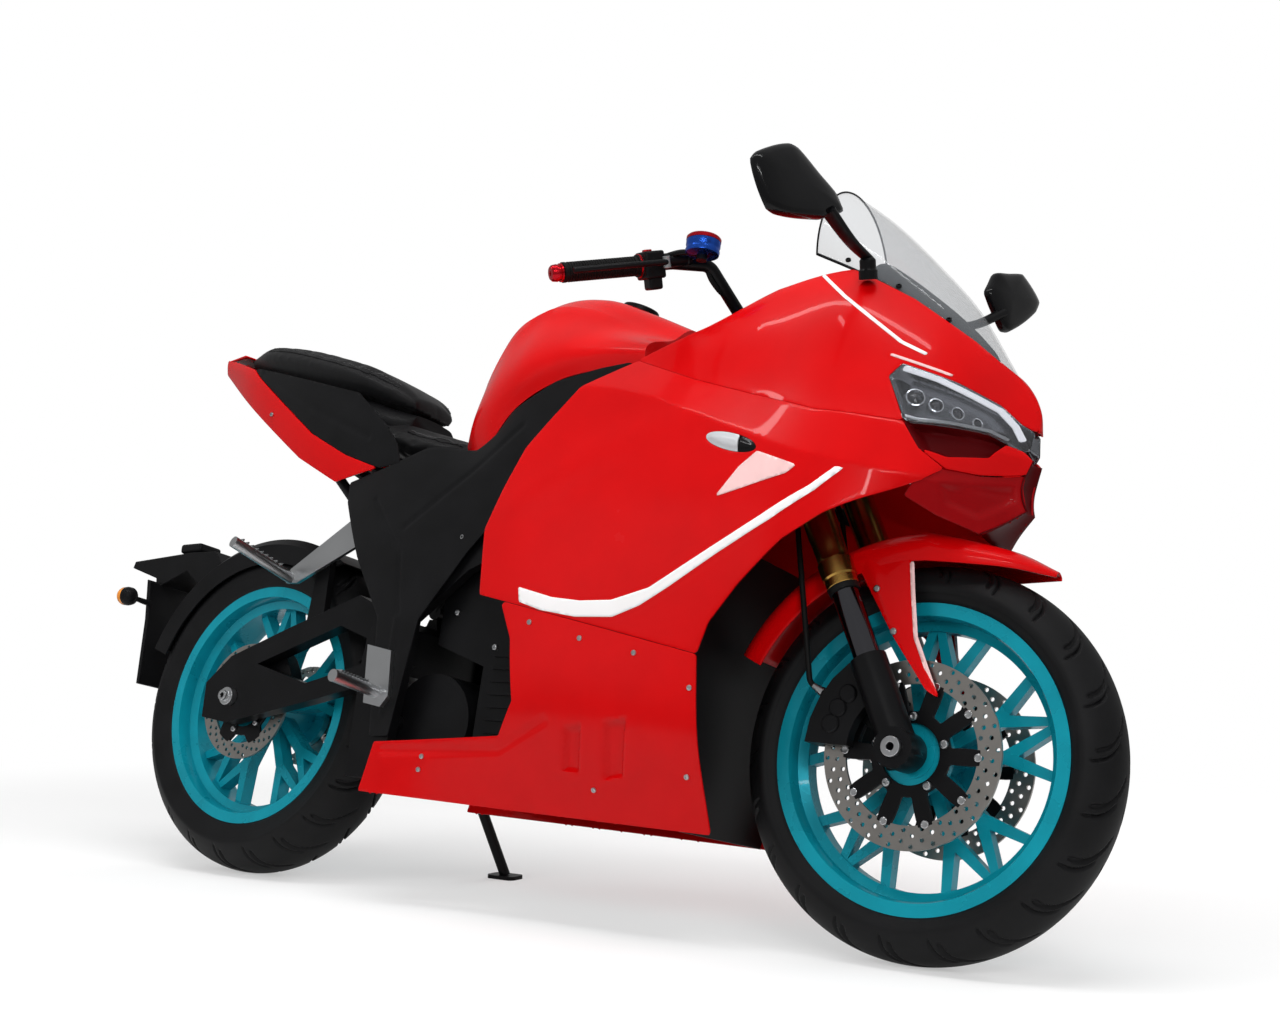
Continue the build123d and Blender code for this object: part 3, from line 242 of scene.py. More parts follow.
STEEL = Finish("disc_steel", (0.42, 0.40, 0.375), 0.34, "disc_steel", metallic=1.0, tone=0.10, grain_scale=1200)
GOLD = Finish("gold", (0.52, 0.30, 0.075), 0.26, "gold", metallic=1.0, tone=0.06)
DARK_CHROME = Finish("dark_chrome", (0.10, 0.10, 0.11), 0.14, "chrome", metallic=1.0, tone=0.04, drift=0.02,
                     grain_depth=0.004)
CHROME = Finish("chrome", (0.80, 0.81, 0.83), 0.06, "chrome", metallic=1.0, tone=0.02, drift=0.02,
                grain_depth=0.004)
TYRE = Finish("tyre", (0.0055, 0.0055, 0.006), 0.52, "tyre", mirror=0.22, tone=0.25, grain_scale=1500,
              grain_depth=0.09)
RUBBER = Finish("rubber", (0.005, 0.005, 0.005), 0.52, "rubber", mirror=0.2, tone=0.2, grain_scale=1800,
                grain_depth=0.06)
VINYL = Finish("seat_vinyl", (0.005, 0.005, 0.0055), 0.44, "seat_vinyl", mirror=0.25, tone=0.2,
               grain=Grain.LEATHER, grain_scale=620, grain_depth=0.16, sheen=0.03)
SCREEN_GLASS = Finish("screen", (0.28, 0.30, 0.32), 0.05, "screen", coat=0.5, alpha=0.2, tone=0.02, drift=0.02,
                      grain_depth=0.002)
LENS_GLASS = Finish("lamp", (0.55, 0.56, 0.58), 0.03, "lamp", clear=1.0, tone=0.01, drift=0.01, grain_depth=0.002)
AMBER = Finish("amber", (0.90, 0.30, 0.02), 0.12, "amber", coat=0.5, tone=0.08, grain_scale=300, grain_depth=0.2)
RED_LENS = Finish("red_lens", (0.45, 0.004, 0.01), 0.12, "red_lens", coat=0.5, tone=0.08)
RED_ALLOY = Finish("red_anodised", (0.62, 0.01, 0.02), 0.26, "red_anodised", metallic=0.9, tone=0.06)
BLUE_ALLOY = Finish("blue_anodised", (0.02, 0.10, 0.55), 0.26, "blue_anodised", metallic=0.9, tone=0.06)

LAMP_GREY = Finish("lamp_housing", (0.22, 0.23, 0.25), 0.22, None, metallic=0.8, tone=0.06)
LED_WHITE = Finish("light_guide", (0.95, 0.96, 1.0), 0.2, None, glow=0.8, tone=0.02)
EYE_GLASS = Finish("lamp_eye", (0.05, 0.055, 0.07), 0.05, None, coat=1.0, tone=0.1, grain_depth=0.004)
CLEAR_LENS = Finish("clear_lens", (0.50, 0.51, 0.53), 0.14, "lamp", coat=0.6, tone=0.06, grain_scale=240,
                    grain_depth=0.3)
THREAD = Finish("seat_thread", (0.07, 0.07, 0.072), 0.6, None, tone=0.2, grain_scale=3000)

FORM_FINISH: dict[str, Finish] = {
    "main_frame": BLACK_SATIN, "subframe": BLACK_SATIN, "battery_case": BLACK_SATIN, "drive_motor": BLACK_SATIN,
    "swingarm": BLACK_SATIN, "rear_shock": BLACK_SATIN, "tail_lamp": RED_LENS, "dash_panel": BLACK_PLASTIC,
    "front_shield": BLACK_PLASTIC, "fairing_stays": BLACK_SATIN, "rider_footrests": SILVER,
    "passenger_footrests": SILVER, "rear_mudguard": BLACK_PLASTIC, "plate_bracket": BLACK_PLASTIC,
    "rear_caliper": BLACK_SATIN, "rear_axle": SILVER, "triple_clamps": BLACK_SATIN,
    "fork_inner_tubes": DARK_CHROME,
    "fork_feet": BLACK_SATIN, "front_axle": SILVER, "front_calipers": BLACK_SATIN, "handlebar": BLACK_SATIN,
    "switch_housings": BLACK_PLASTIC, "brake_levers": BLACK_SATIN, "brake_hoses": RUBBER, "front_rim": TEAL,
    "rear_rim": TEAL, "side_stand": BLACK_SATIN,
}


# Frame of reference


@dataclass(frozen=True)
class ParkedFrame:
    """Places of the upright machine, as they stand once it leans on its side stand."""

    lean: float = math.radians(12.0)
    axle_height: float = 319.0

    def turn(self) -> np.ndarray:
        """Rotation from the upright to the leaning frame."""
        c, s = math.cos(self.lean), math.sin(self.lean)
        return np.array([[1, 0, 0], [0, c, s], [0, -s, c]])

    def origin(self) -> np.ndarray:
        """Where the upright frame's origin lies, in metres, read from the rear axle's place."""
        axle = next(m for m in frame["record"]["mounts"] if m["name"] == "rear_axle_bore")["pos_m"]
        return np.array(axle) - self.turn() @ np.array([0, 0, self.axle_height / 1000])

    def place(self, points: Sequence[Sequence[float]]) -> np.ndarray:
        """Points of the upright frame, in millimetres, as parked points in metres."""
        return np.asarray(points, float) / 1000 @ self.turn().T + self.origin()

    def upright(self, points: np.ndarray) -> np.ndarray:
        """Parked points in metres as points of the upright frame, in millimetres."""
        return (np.asarray(points, float) - self.origin()) @ self.turn() * 1000


PARK = ParkedFrame()


# Mesh making

FAR = 1e9
SIDES = (1, -1)
FULL_SPIN = 6.2


def make_piece(name: str, points: np.ndarray, faces: Sequence[Sequence[int]], finish: Finish, body: Body,
               smooth: float = 40.0, closed: bool = True) -> bpy.types.Object:
    """Make a mesh piece from upright points and let it ride on a body.

    Args:
        name: Piece name.
        points: Vertices in the upright frame.
        faces: Vertex rows of the faces.
        finish: Surface of the piece.
        body: Body that it moves with.
        smooth: Angle in degrees above which an edge stays sharp.
        closed: Whether the shape is closed, so that its faces can be turned outward.

    Returns:
        The new object.
    """
    mesh = bpy.data.meshes.new(name)
    mesh.from_pydata([tuple(p) for p in PARK.place(points)], [], [tuple(f) for f in faces])
    mesh.validate()
    if closed:
        settle(mesh)
    mesh.materials.append(finish.material())
    piece = bpy.data.objects.new(name, mesh)
    bpy.context.scene.collection.objects.link(piece)
    shade(mesh, smooth)
    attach(piece, body.value)
    LOG.info("piece %s: %d faces", name, len(mesh.polygons))
    return piece


def shade(mesh: bpy.types.Mesh, angle: float) -> None:
    """Shade a mesh smooth, with edges above an angle in degrees kept sharp."""
    mesh.polygons.foreach_set("use_smooth", [True] * len(mesh.polygons))
    mesh.set_sharp_from_angle(angle=math.radians(angle))


def thicken(piece: bpy.types.Object, wall: float, edge: float = 0.0) -> None:
    """Give a sheet a wall on its inner side and a rounded rim, both in millimetres."""
    solid = piece.modifiers.new("wall", "SOLIDIFY")
    solid.thickness, solid.offset, solid.use_even_offset = wall / 1000, -1.0, False
    if edge:
        bevel(piece, edge)


def sheet_piece(name: str, rows: object, finish: Finish, wall: float, smooth: float = 40.0) -> bpy.types.Object:
    """Make a chassis piece from a grid of points, with a wall in millimetres."""
    piece = make_piece(name, *surface(np.array(rows)), finish, Body.CHASSIS, smooth, closed=False)
    thicken(piece, wall)
    return piece


def bevel(piece: bpy.types.Object, width: float, angle: float = 50.0, segments: int = 2) -> None:
    """Round the sharp edges of a piece by a width in millimetres."""
    soft = piece.modifiers.new("edges", "BEVEL")
    soft.width, soft.segments = width / 1000, segments
    soft.limit_method, soft.angle_limit = "ANGLE", math.radians(angle)
    soft.harden_normals = False


def path_lengths(path: np.ndarray) -> np.ndarray:
    """Length walked along a path at each of its points."""
    return np.concatenate([[0], np.cumsum(np.linalg.norm(np.diff(path, axis=0), axis=1))])


def rounded(points: Sequence[Point2], radius: float, step: float) -> np.ndarray:
    """Closed outline with rounded corners, walked in short steps.

    Args:
        points: Corners of the outline.
        radius: Corner radius; short runs get less.
        step: Length of a step.

    Returns:
        Rows of x and z.
    """
    corners = np.asarray(points, float)
    walk = []
    for i, here in enumerate(corners):
        to_last, to_next = corners[i - 1] - here, corners[(i + 1) % len(corners)] - here
        reach = min(np.linalg.norm(to_last), np.linalg.norm(to_next)) * 0.45
        cos = np.dot(to_last, to_next) / (np.linalg.norm(to_last) * np.linalg.norm(to_next))
        half = math.acos(max(-1.0, min(1.0, cos))) / 2
        cut = min(reach, radius / max(math.tan(half), 0.05))
        first = here + to_last / np.linalg.norm(to_last) * cut
        last = here + to_next / np.linalg.norm(to_next) * cut
        for t in np.linspace(0, 1, 6):
            walk.append((1 - t) ** 2 * first + 2 * t * (1 - t) * here + t * t * last)
    walk = np.array(walk + walk[:1])
    lengths = path_lengths(walk)
    count = max(12, int(lengths[-1] / step))
    along = np.linspace(0, lengths[-1], count, endpoint=False)
    return np.column_stack([np.interp(along, lengths, walk[:, k]) for k in (0, 1)])


def inside(outline: np.ndarray, points: np.ndarray) -> np.ndarray:
    """Which points lie inside a closed outline."""
    x, z = points[:, 0], points[:, 1]
    hit = np.zeros(len(points), bool)
    for (x1, z1), (x2, z2) in zip(outline, np.roll(outline, -1, axis=0)):
        if z1 != z2:
            hit ^= ((z1 > z) != (z2 > z)) & (x < (x2 - x1) * (z - z1) / (z2 - z1) + x1)
    return hit


def smooth_track(knots: np.ndarray, values: np.ndarray, at: np.ndarray) -> np.ndarray:
    """Smooth curve through table values.

    Args:
        knots: Rising places of the table's rows.
        values: Rows of values.
        at: Places to read.

    Returns:
        One row of values for each place.
    """
    step = np.diff(knots)
    slope = np.diff(values, axis=0) / step[:, None]
    tangent = np.vstack([slope[:1], slope]).astype(float)
    before, after = step[:-1, None], step[1:, None]
    tangent[1:-1] = (slope[:-1] * after + slope[1:] * before) / (before + after)
    tangent[-1] = slope[-1]
    i = np.clip(np.searchsorted(knots, at) - 1, 0, len(step) - 1)
    t = ((at - knots[i]) / step[i])[:, None]
    h = step[i][:, None]
    return ((2 * t**3 - 3 * t**2 + 1) * values[i] + (t**3 - 2 * t**2 + t) * h * tangent[i]
            + (3 * t**2 - 2 * t**3) * values[i + 1] + (t**3 - t**2) * h * tangent[i + 1])


@dataclass
class Skin:
    """Surface through half-sections listed from the top down, read as a distance from the centre plane."""

    stations: list[tuple[float, list[Point2]]]
    creases: tuple[int, ...] = ()
    knots: np.ndarray = field(init=False)
    rows: np.ndarray = field(init=False)

    def __post_init__(self) -> None:
        """Sort the table by its places along the machine."""
        ordered = sorted(self.stations)
        self.knots = np.array([x for x, _ in ordered], float)
        self.rows = np.array([[c for p in points for c in p] for _, points in ordered], float)

    def sections(self, x: np.ndarray) -> np.ndarray:
        """Section points (place, point, y or z) at the given places along the machine."""
        return smooth_track(self.knots, self.rows, x).reshape(len(x), -1, 2)

    def line(self, point: int, start: float, end: float, step: float = 4.0) -> np.ndarray:
        """Side view of the line that one section point draws, as rows of x and z."""
        x = np.arange(start, end, step)
        return np.column_stack([x, self.sections(x)[:, point, 1]])

    def tangents(self, points: np.ndarray) -> tuple[np.ndarray, np.ndarray, np.ndarray]:
        """Chord lengths, and the directions in which each section leaves and reaches its points."""
        chord = np.linalg.norm(np.diff(points, axis=1), axis=2)
        run = np.diff(points, axis=1) / np.maximum(chord, 1e-6)[:, :, None]
        after = np.concatenate([run, run[:, -1:]], axis=1)
        before = np.concatenate([run[:, :1], run], axis=1)
        weight = np.concatenate([np.full((len(points), 1), 0.5), chord[:, :-1] / (chord[:, :-1] + chord[:, 1:]),
                                 np.full((len(points), 1), 0.5)], axis=1)[:, :, None]
        even = before * (1 - weight) + after * weight
        for crease in self.creases:
            even[:, crease] = np.nan
        leave = np.where(np.isnan(even), after, even)
        arrive = np.where(np.isnan(even), before, even)
        return chord, leave, arrive

    def strip(self, x: np.ndarray, count: int) -> np.ndarray:
        """Grid of surface points: each section walked from the top down.

        Args:
            x: Places along the machine.
            count: Steps between two points of a section.

        Returns:
            Points, one row for each place.
        """
        points = self.sections(x)
        chord, leave, arrive = self.tangents(points)
        rows = []
        for j in range(points.shape[1] - 1):
            for t in np.linspace(0, 1, count, endpoint=False):
                rows.append(hermite(points[:, j], points[:, j + 1], leave[:, j] * chord[:, j, None],
                                    arrive[:, j + 1] * chord[:, j, None], t))
        rows.append(points[:, -1])
        flat = np.array(rows).transpose(1, 0, 2)
        place = np.broadcast_to(x[:, None], flat.shape[:2])
        return np.stack([place, flat[:, :, 0], flat[:, :, 1]], axis=2)

    def reach(self, x: np.ndarray, z: np.ndarray) -> np.ndarray:
        """Distance from the centre plane.

        Args:
            x: Places along the machine.
            z: Heights.

        Returns:
            The surface's y at each place and height.
        """
        points = self.sections(x)
        chord, leave, arrive = self.tangents(points)
        j = np.clip((points[:, 1:, 1] >= z[:, None]).sum(axis=1), 0, points.shape[1] - 2)
        q = np.arange(len(x))
        a, b, d = points[q, j], points[q, j + 1], chord[q, j][:, None]
        ta, tb = leave[q, j] * d, arrive[q, j + 1] * d
        low, high = np.zeros(len(x)), np.ones(len(x))
        for _ in range(26):
            t = (low + high) / 2
            above = hermite(a[:, 1], b[:, 1], ta[:, 1], tb[:, 1], t) > z
            low, high = np.where(above, t, low), np.where(above, high, t)
        return hermite(a[:, 0], b[:, 0], ta[:, 0], tb[:, 0], (low + high) / 2)


def hermite(a: np.ndarray, b: np.ndarray, ta: np.ndarray, tb: np.ndarray, t: np.ndarray) -> np.ndarray:
    """Cubic between values a and b that leaves and arrives with the given tangents."""
    return ((2 * t**3 - 3 * t**2 + 1) * a + (t**3 - 2 * t**2 + t) * ta
            + (3 * t**2 - 2 * t**3) * b + (t**3 - t**2) * tb)


@dataclass
class Panel:
    """A moulded panel: a side-view outline laid over a skin, on both sides of the machine."""

    name: str
    skin: Skin
    outline: Sequence[Point2]
    finish: Finish
    wall: float = 3.0
    corner: float = 4.0
    step: float = 5.0
    offset: float = 0.0
    edge: float = 0.8
    holes: Sequence[Sequence[Point2]] = ()
    lines: Sequence[np.ndarray] = ()
    features: Sequence[Feature] = ()
    sides: tuple[int, ...] = SIDES

    def mesh(self) -> tuple[np.ndarray, list[tuple[int, ...]]]:
        """Vertices and faces of the left side."""
        rim = rounded(self.outline, self.corner, self.step)
        loops = [rim] + [rounded(hole, 2.0, self.step * 0.7) for hole in self.holes]
        coords, edges = [], []
        for loop in loops:
            start = len(coords)
            coords.extend(loop)
            edges += [(start + i, start + (i + 1) % len(loop)) for i in range(len(loop))]
        kept = list(coords)
        for line in self.lines:
            kept_line = line[inside(rim, line)]
            gap = np.array([np.min(np.hypot(*(np.array(coords) - p).T)) for p in kept_line])
            kept_line = kept_line[gap > self.step * 0.5] if len(kept_line) else kept_line
            start = len(kept)
            kept.extend(kept_line)
            edges += [(start + i, start + i + 1) for i in range(len(kept_line) - 1)
                      if np.hypot(*(kept_line[i + 1] - kept_line[i])) < 2.5 * self.step]
        fixed = np.array(kept)
        low, high = rim.min(0), rim.max(0)
        grid = np.array([(x + (k % 2) * self.step / 2, z)
                         for k, z in enumerate(np.arange(low[1], high[1], self.step * 0.87))
                         for x in np.arange(low[0], high[0], self.step)])
        grid = grid[inside(rim, grid)]
        near = np.full(len(grid), FAR)
        for chunk in np.array_split(fixed, max(1, len(fixed) // 200)):
            near = np.minimum(near, np.min(np.hypot(grid[:, None, 0] - chunk[None, :, 0],
                                                    grid[:, None, 1] - chunk[None, :, 1]), axis=1))
        points = np.vstack([fixed, grid[near > self.step * 0.55]])
        made = delaunay_2d_cdt([Vector(p) for p in points], edges, [list(range(len(rim)))], 1, 1e-5, False)
        flat = np.array([(v.x, v.y) for v in made[0]])
        faces = [tuple(f) for f in made[2]]
        centres = np.array([flat[list(f)].mean(axis=0) for f in faces])
        drop = ~inside(rim, centres)
        for hole in loops[1:]:
            drop |= inside(hole, centres)
        faces = [f for f, out in zip(faces, drop) if not out]
        y = self.skin.reach(flat[:, 0], flat[:, 1]) + self.offset
        for feature in self.features:
            y = y + feature(flat[:, 0], flat[:, 1])
        return np.column_stack([flat[:, 0], np.maximum(y, 0.0), flat[:, 1]]), faces

    def build(self, body: Body = Body.CHASSIS) -> bpy.types.Object:
        """Make the panel's piece on each side it has."""
        points, faces = self.mesh()
        every, rows = [], []
        for side in self.sides:
            start = sum(len(p) for p in every)
            every.append(points * np.array([1, side, 1]))
            rows += [tuple(start + i for i in (f if side < 0 else f[::-1])) for f in faces]
        piece = make_piece(self.name, np.vstack(every), rows, self.finish, body, closed=False)
        merge(piece, 0.05)
        if self.wall:
            thicken(piece, self.wall, self.edge)
        return piece


def merge(piece: bpy.types.Object, gap: float) -> None:
    """Weld vertices of a piece that lie closer than a gap in millimetres."""
    work = bmesh.new()
    work.from_mesh(piece.data)
    bmesh.ops.remove_doubles(work, verts=work.verts, dist=gap / 1000)
    loose = [v for v in work.verts if not v.link_faces]
    bmesh.ops.delete(work, geom=loose, context="VERTS")
    work.to_mesh(piece.data)
    work.free()


def path_gap(points: np.ndarray, starts: np.ndarray, ends: np.ndarray) -> np.ndarray:
    """Distance of side-view points from the nearest of some straight runs."""
    near = np.full(len(points), FAR)
    for a, b in zip(starts, ends):
        run = b - a
        t = np.clip(((points - a) @ run) / (run @ run), 0, 1)
        near = np.minimum(near, np.linalg.norm(points - a - t[:, None] * run, axis=1))
    return near


def groove(path: Sequence[Point2], width: float, depth: float) -> Feature:
    """Feature that presses a rounded groove, or a ridge with a negative depth, along a side-view path.

    Args:
        path: Points of the path.
        width: Full width.
        depth: How far it goes in.

    Returns:
        The change of distance from the centre plane.
    """
    line = np.asarray(path, float)

    def press(x: np.ndarray, z: np.ndarray) -> np.ndarray:
        """Depth at side-view places."""
        near = path_gap(np.column_stack([x, z]), line[:-1], line[1:])
        return -depth * 0.5 * (1 + np.cos(np.pi * np.clip(near / (width / 2), 0, 1)))

    return press


def hollow(outline: Sequence[Point2], depth: float, slope: float) -> Feature:
    """Feature that sinks the area inside an outline, with sloping sides.

    Args:
        outline: Corners of the area in side view.
        depth: How far it goes in.
        slope: Width of the sloping side.

    Returns:
        The change of distance from the centre plane.
    """
    ring = np.asarray(outline, float)

    def press(x: np.ndarray, z: np.ndarray) -> np.ndarray:
        """Depth at side-view places."""
        here = np.column_stack([x, z])
        near = path_gap(here, ring, np.roll(ring, -1, axis=0))
        t = np.clip(np.where(inside(ring, here), near, 0) / slope, 0, 1)
        return -depth * t * t * (3 - 2 * t)

    return press


def unit(v: Sequence[float]) -> np.ndarray:
    """A vector's direction."""
    v = np.asarray(v, float)
    return v / np.linalg.norm(v)


def square_to(axis: Sequence[float]) -> tuple[np.ndarray, np.ndarray]:
    """Two directions square to an axis and to each other."""
    axis = unit(axis)
    guess = np.array([0.0, 0.0, 1.0]) if abs(axis[2]) < 0.9 else np.array([1.0, 0.0, 0.0])
    side = unit(np.cross(guess, axis))
    return side, np.cross(axis, side)


def joined(parts: Sequence[Shape]) -> Shape:
    """Several shapes as one."""
    points, faces, start = [], [], 0
    for more, rows in parts:
        points.append(np.asarray(more, float))
        faces += [tuple(start + i for i in row) for row in rows]
        start += len(more)
    return np.vstack(points), faces


def mirrored(shape: Shape) -> Shape:
    """The shape on the other side of the machine."""
    return np.asarray(shape[0]) * np.array([1, -1, 1]), [tuple(row[::-1]) for row in shape[1]]


def both(shape: Shape) -> Shape:
    """The shape on both sides of the machine."""
    return joined([shape, mirrored(shape)])


def surface(rows: np.ndarray, wrap: bool = False, caps: bool = False) -> Shape:
    """Faces over a grid of points.

    Args:
        rows: Points, rows by columns.
        wrap: Whether each row closes on itself.
        caps: Whether the first and the last row are filled.

    Returns:
        The shape.
    """
    n, m = rows.shape[:2]
    faces = [(i * m + j, i * m + (j + 1) % m, (i + 1) * m + (j + 1) % m, (i + 1) * m + j)
             for i in range(n - 1) for j in range(m if wrap else m - 1)]
    if caps:
        faces += [tuple(range(m))[::-1], tuple((n - 1) * m + j for j in range(m))]
    return rows.reshape(-1, 3), faces


def turned(start: Sequence[float], axis: Sequence[float], profile: Sequence[Point2], around: int = 28) -> Shape:
    """Turned shape.

    Args:
        start: Point on the axis.
        axis: Direction of the axis.
        profile: Rows of distance along the axis and radius.
        around: Corners of each ring.

    Returns:
        The closed shape.
    """
    axis = unit(axis)
    side, up = square_to(axis)
    angle = np.linspace(0, 2 * math.pi, around, endpoint=False)[:, None]
    ring = np.cos(angle) * side + np.sin(angle) * up
    return surface(np.array([np.asarray(start, float) + axis * a + ring * r for a, r in profile]), True, True)


def swept(path: Sequence[Sequence[float]], radius: object, around: int = 12, flat: float = 1.0) -> Shape:
    """Round bar along a path.

    Args:
        path: Points of the path.
        radius: One radius, or one for each point.
        around: Corners of each ring.
        flat: Share of the radius kept across the second direction.

    Returns:
        The closed shape.
    """
    line = np.asarray(path, float)
    radii = np.broadcast_to(np.asarray(radius, float), len(line))
    run = np.gradient(line, axis=0)
    side, _ = square_to(run[0])
    angle = np.linspace(0, 2 * math.pi, around, endpoint=False)[:, None]
    rings = []
    for point, ahead, r in zip(line, run, radii):
        ahead = unit(ahead)
        side = unit(side - ahead * (side @ ahead))
        rings.append(point + r * (np.cos(angle) * side + flat * np.sin(angle) * np.cross(ahead, side)))
    return surface(np.array(rings), True, True)


def curve_through(points: Sequence[Sequence[float]], count: int) -> np.ndarray:
    """Smooth path through points, walked in even steps."""
    rows = np.asarray(points, float)
    knots = path_lengths(rows)
    return smooth_track(knots, rows, np.linspace(0, knots[-1], count))


def prism(ring: Sequence[Sequence[float]], shift: Sequence[float], taper: float = 1.0) -> Shape:
    """Block from a ring of points, pushed along a shift and narrowed by a taper."""
    low = np.asarray(ring, float)
    high = (low - low.mean(axis=0)) * taper + low.mean(axis=0) + np.asarray(shift, float)
    return surface(np.array([low, high]), True, True)


def plate(outline: np.ndarray, holes: Sequence[np.ndarray], near: float, far: float) -> Shape:
    """Flat plate with holes between two distances from the centre plane.

    Args:
        outline: Rim in side view.
        holes: Rims of the holes.
        near: The first face's y.
        far: The second face's y.

    Returns:
        The closed shape.
    """
    coords, edges = [], []
    for loop in [outline, *holes]:
        start = len(coords)
        coords += [Vector(p) for p in loop]
        edges += [(start + i, start + (i + 1) % len(loop)) for i in range(len(loop))]
    made = delaunay_2d_cdt(coords, edges, [list(range(len(outline)))], 1, 1e-5)
    flat = np.array([(v.x, v.y) for v in made[0]])
    centres = np.array([flat[list(f)].mean(axis=0) for f in made[2]])
    drop = ~inside(np.asarray(outline), centres)
    for hole in holes:
        drop |= inside(np.asarray(hole), centres)
    faces = [tuple(f) for f, out in zip(made[2], drop) if not out]
    count = {}
    for face in faces:
        for a, b in zip(face, face[1:] + face[:1]):
            count[(a, b)] = 1
    rim = [(a, b) for a, b in count if (b, a) not in count]
    n = len(flat)
    points = np.vstack([np.column_stack([flat[:, 0], np.full(n, y), flat[:, 1]]) for y in (near, far)])
    rows = faces + [tuple(i + n for i in f[::-1]) for f in faces] + [(b, a, a + n, b + n) for a, b in rim]
    return points, rows


def circle(centre: Point2, radius: float, count: int = 16, start: float = 0.0) -> np.ndarray:
    """Corners of a circle in side view."""
    a = np.linspace(0, 2 * math.pi, count, endpoint=False) + start
    return np.column_stack([centre[0] + radius * np.cos(a), centre[1] + radius * np.sin(a)])


def on_circle(centre: Point2, radius: float, angle: float) -> Point2:
    """Side-view point on a circle, the angle in radians."""
    return centre[0] + radius * math.cos(angle), centre[1] + radius * math.sin(angle)


def turns(count: int, start: float = 0.0) -> list[float]:
    """Even angles round a circle, in radians."""
    return [2 * math.pi * k / count + start for k in range(count)]


def ellipse(centre: Point2, half: Point2, turn: float, count: int = 40) -> np.ndarray:
    """Corners of a turned ellipse in side view, the turn in degrees."""
    flat = circle((0, 0), 1.0, count) * np.array(half)
    c, s = math.cos(math.radians(turn)), math.sin(math.radians(turn))
    return flat @ np.array([[c, s], [-s, c]]) + np.array(centre)


def box_shape(centre: Sequence[float], size: Sequence[float], ahead: Sequence[float] = (1, 0, 0),
              up: Sequence[float] = (0, 0, 1)) -> Shape:
    """Block about a centre, its sizes along a direction, across it and up."""
    ahead = unit(ahead)
    across = unit(np.cross(up, ahead))
    rise = np.cross(ahead, across)
    corners = [(-1, -1), (1, -1), (1, 1), (-1, 1)]
    foot = np.asarray(centre, float) - rise * size[2] / 2
    base = np.array([foot + ahead * a * size[0] / 2 + across * b * size[1] / 2 for a, b in corners])
    return prism(base, rise * size[2])


def screw_shape(radius: float, height: float) -> Shape:
    """Domed screw head with a six-sided socket, standing on z = 0 along z."""
    angle = np.linspace(0, 2 * math.pi, 24, endpoint=False)
    hexed = radius * 0.48 / np.cos((angle + math.pi / 6) % (math.pi / 3) - math.pi / 6)
    rows = [(radius, -1.0), (radius, height * 0.55), (radius * 0.92, height * 0.85), (radius * 0.75, height)]
    rings = [np.column_stack([r * np.cos(angle), r * np.sin(angle), np.full(24, z)]) for r, z in rows]
    for z in (height, height * 0.35):
        rings.append(np.column_stack([hexed * np.cos(angle), hexed * np.sin(angle), np.full(24, z)]))
    return surface(np.array(rings), True, True)


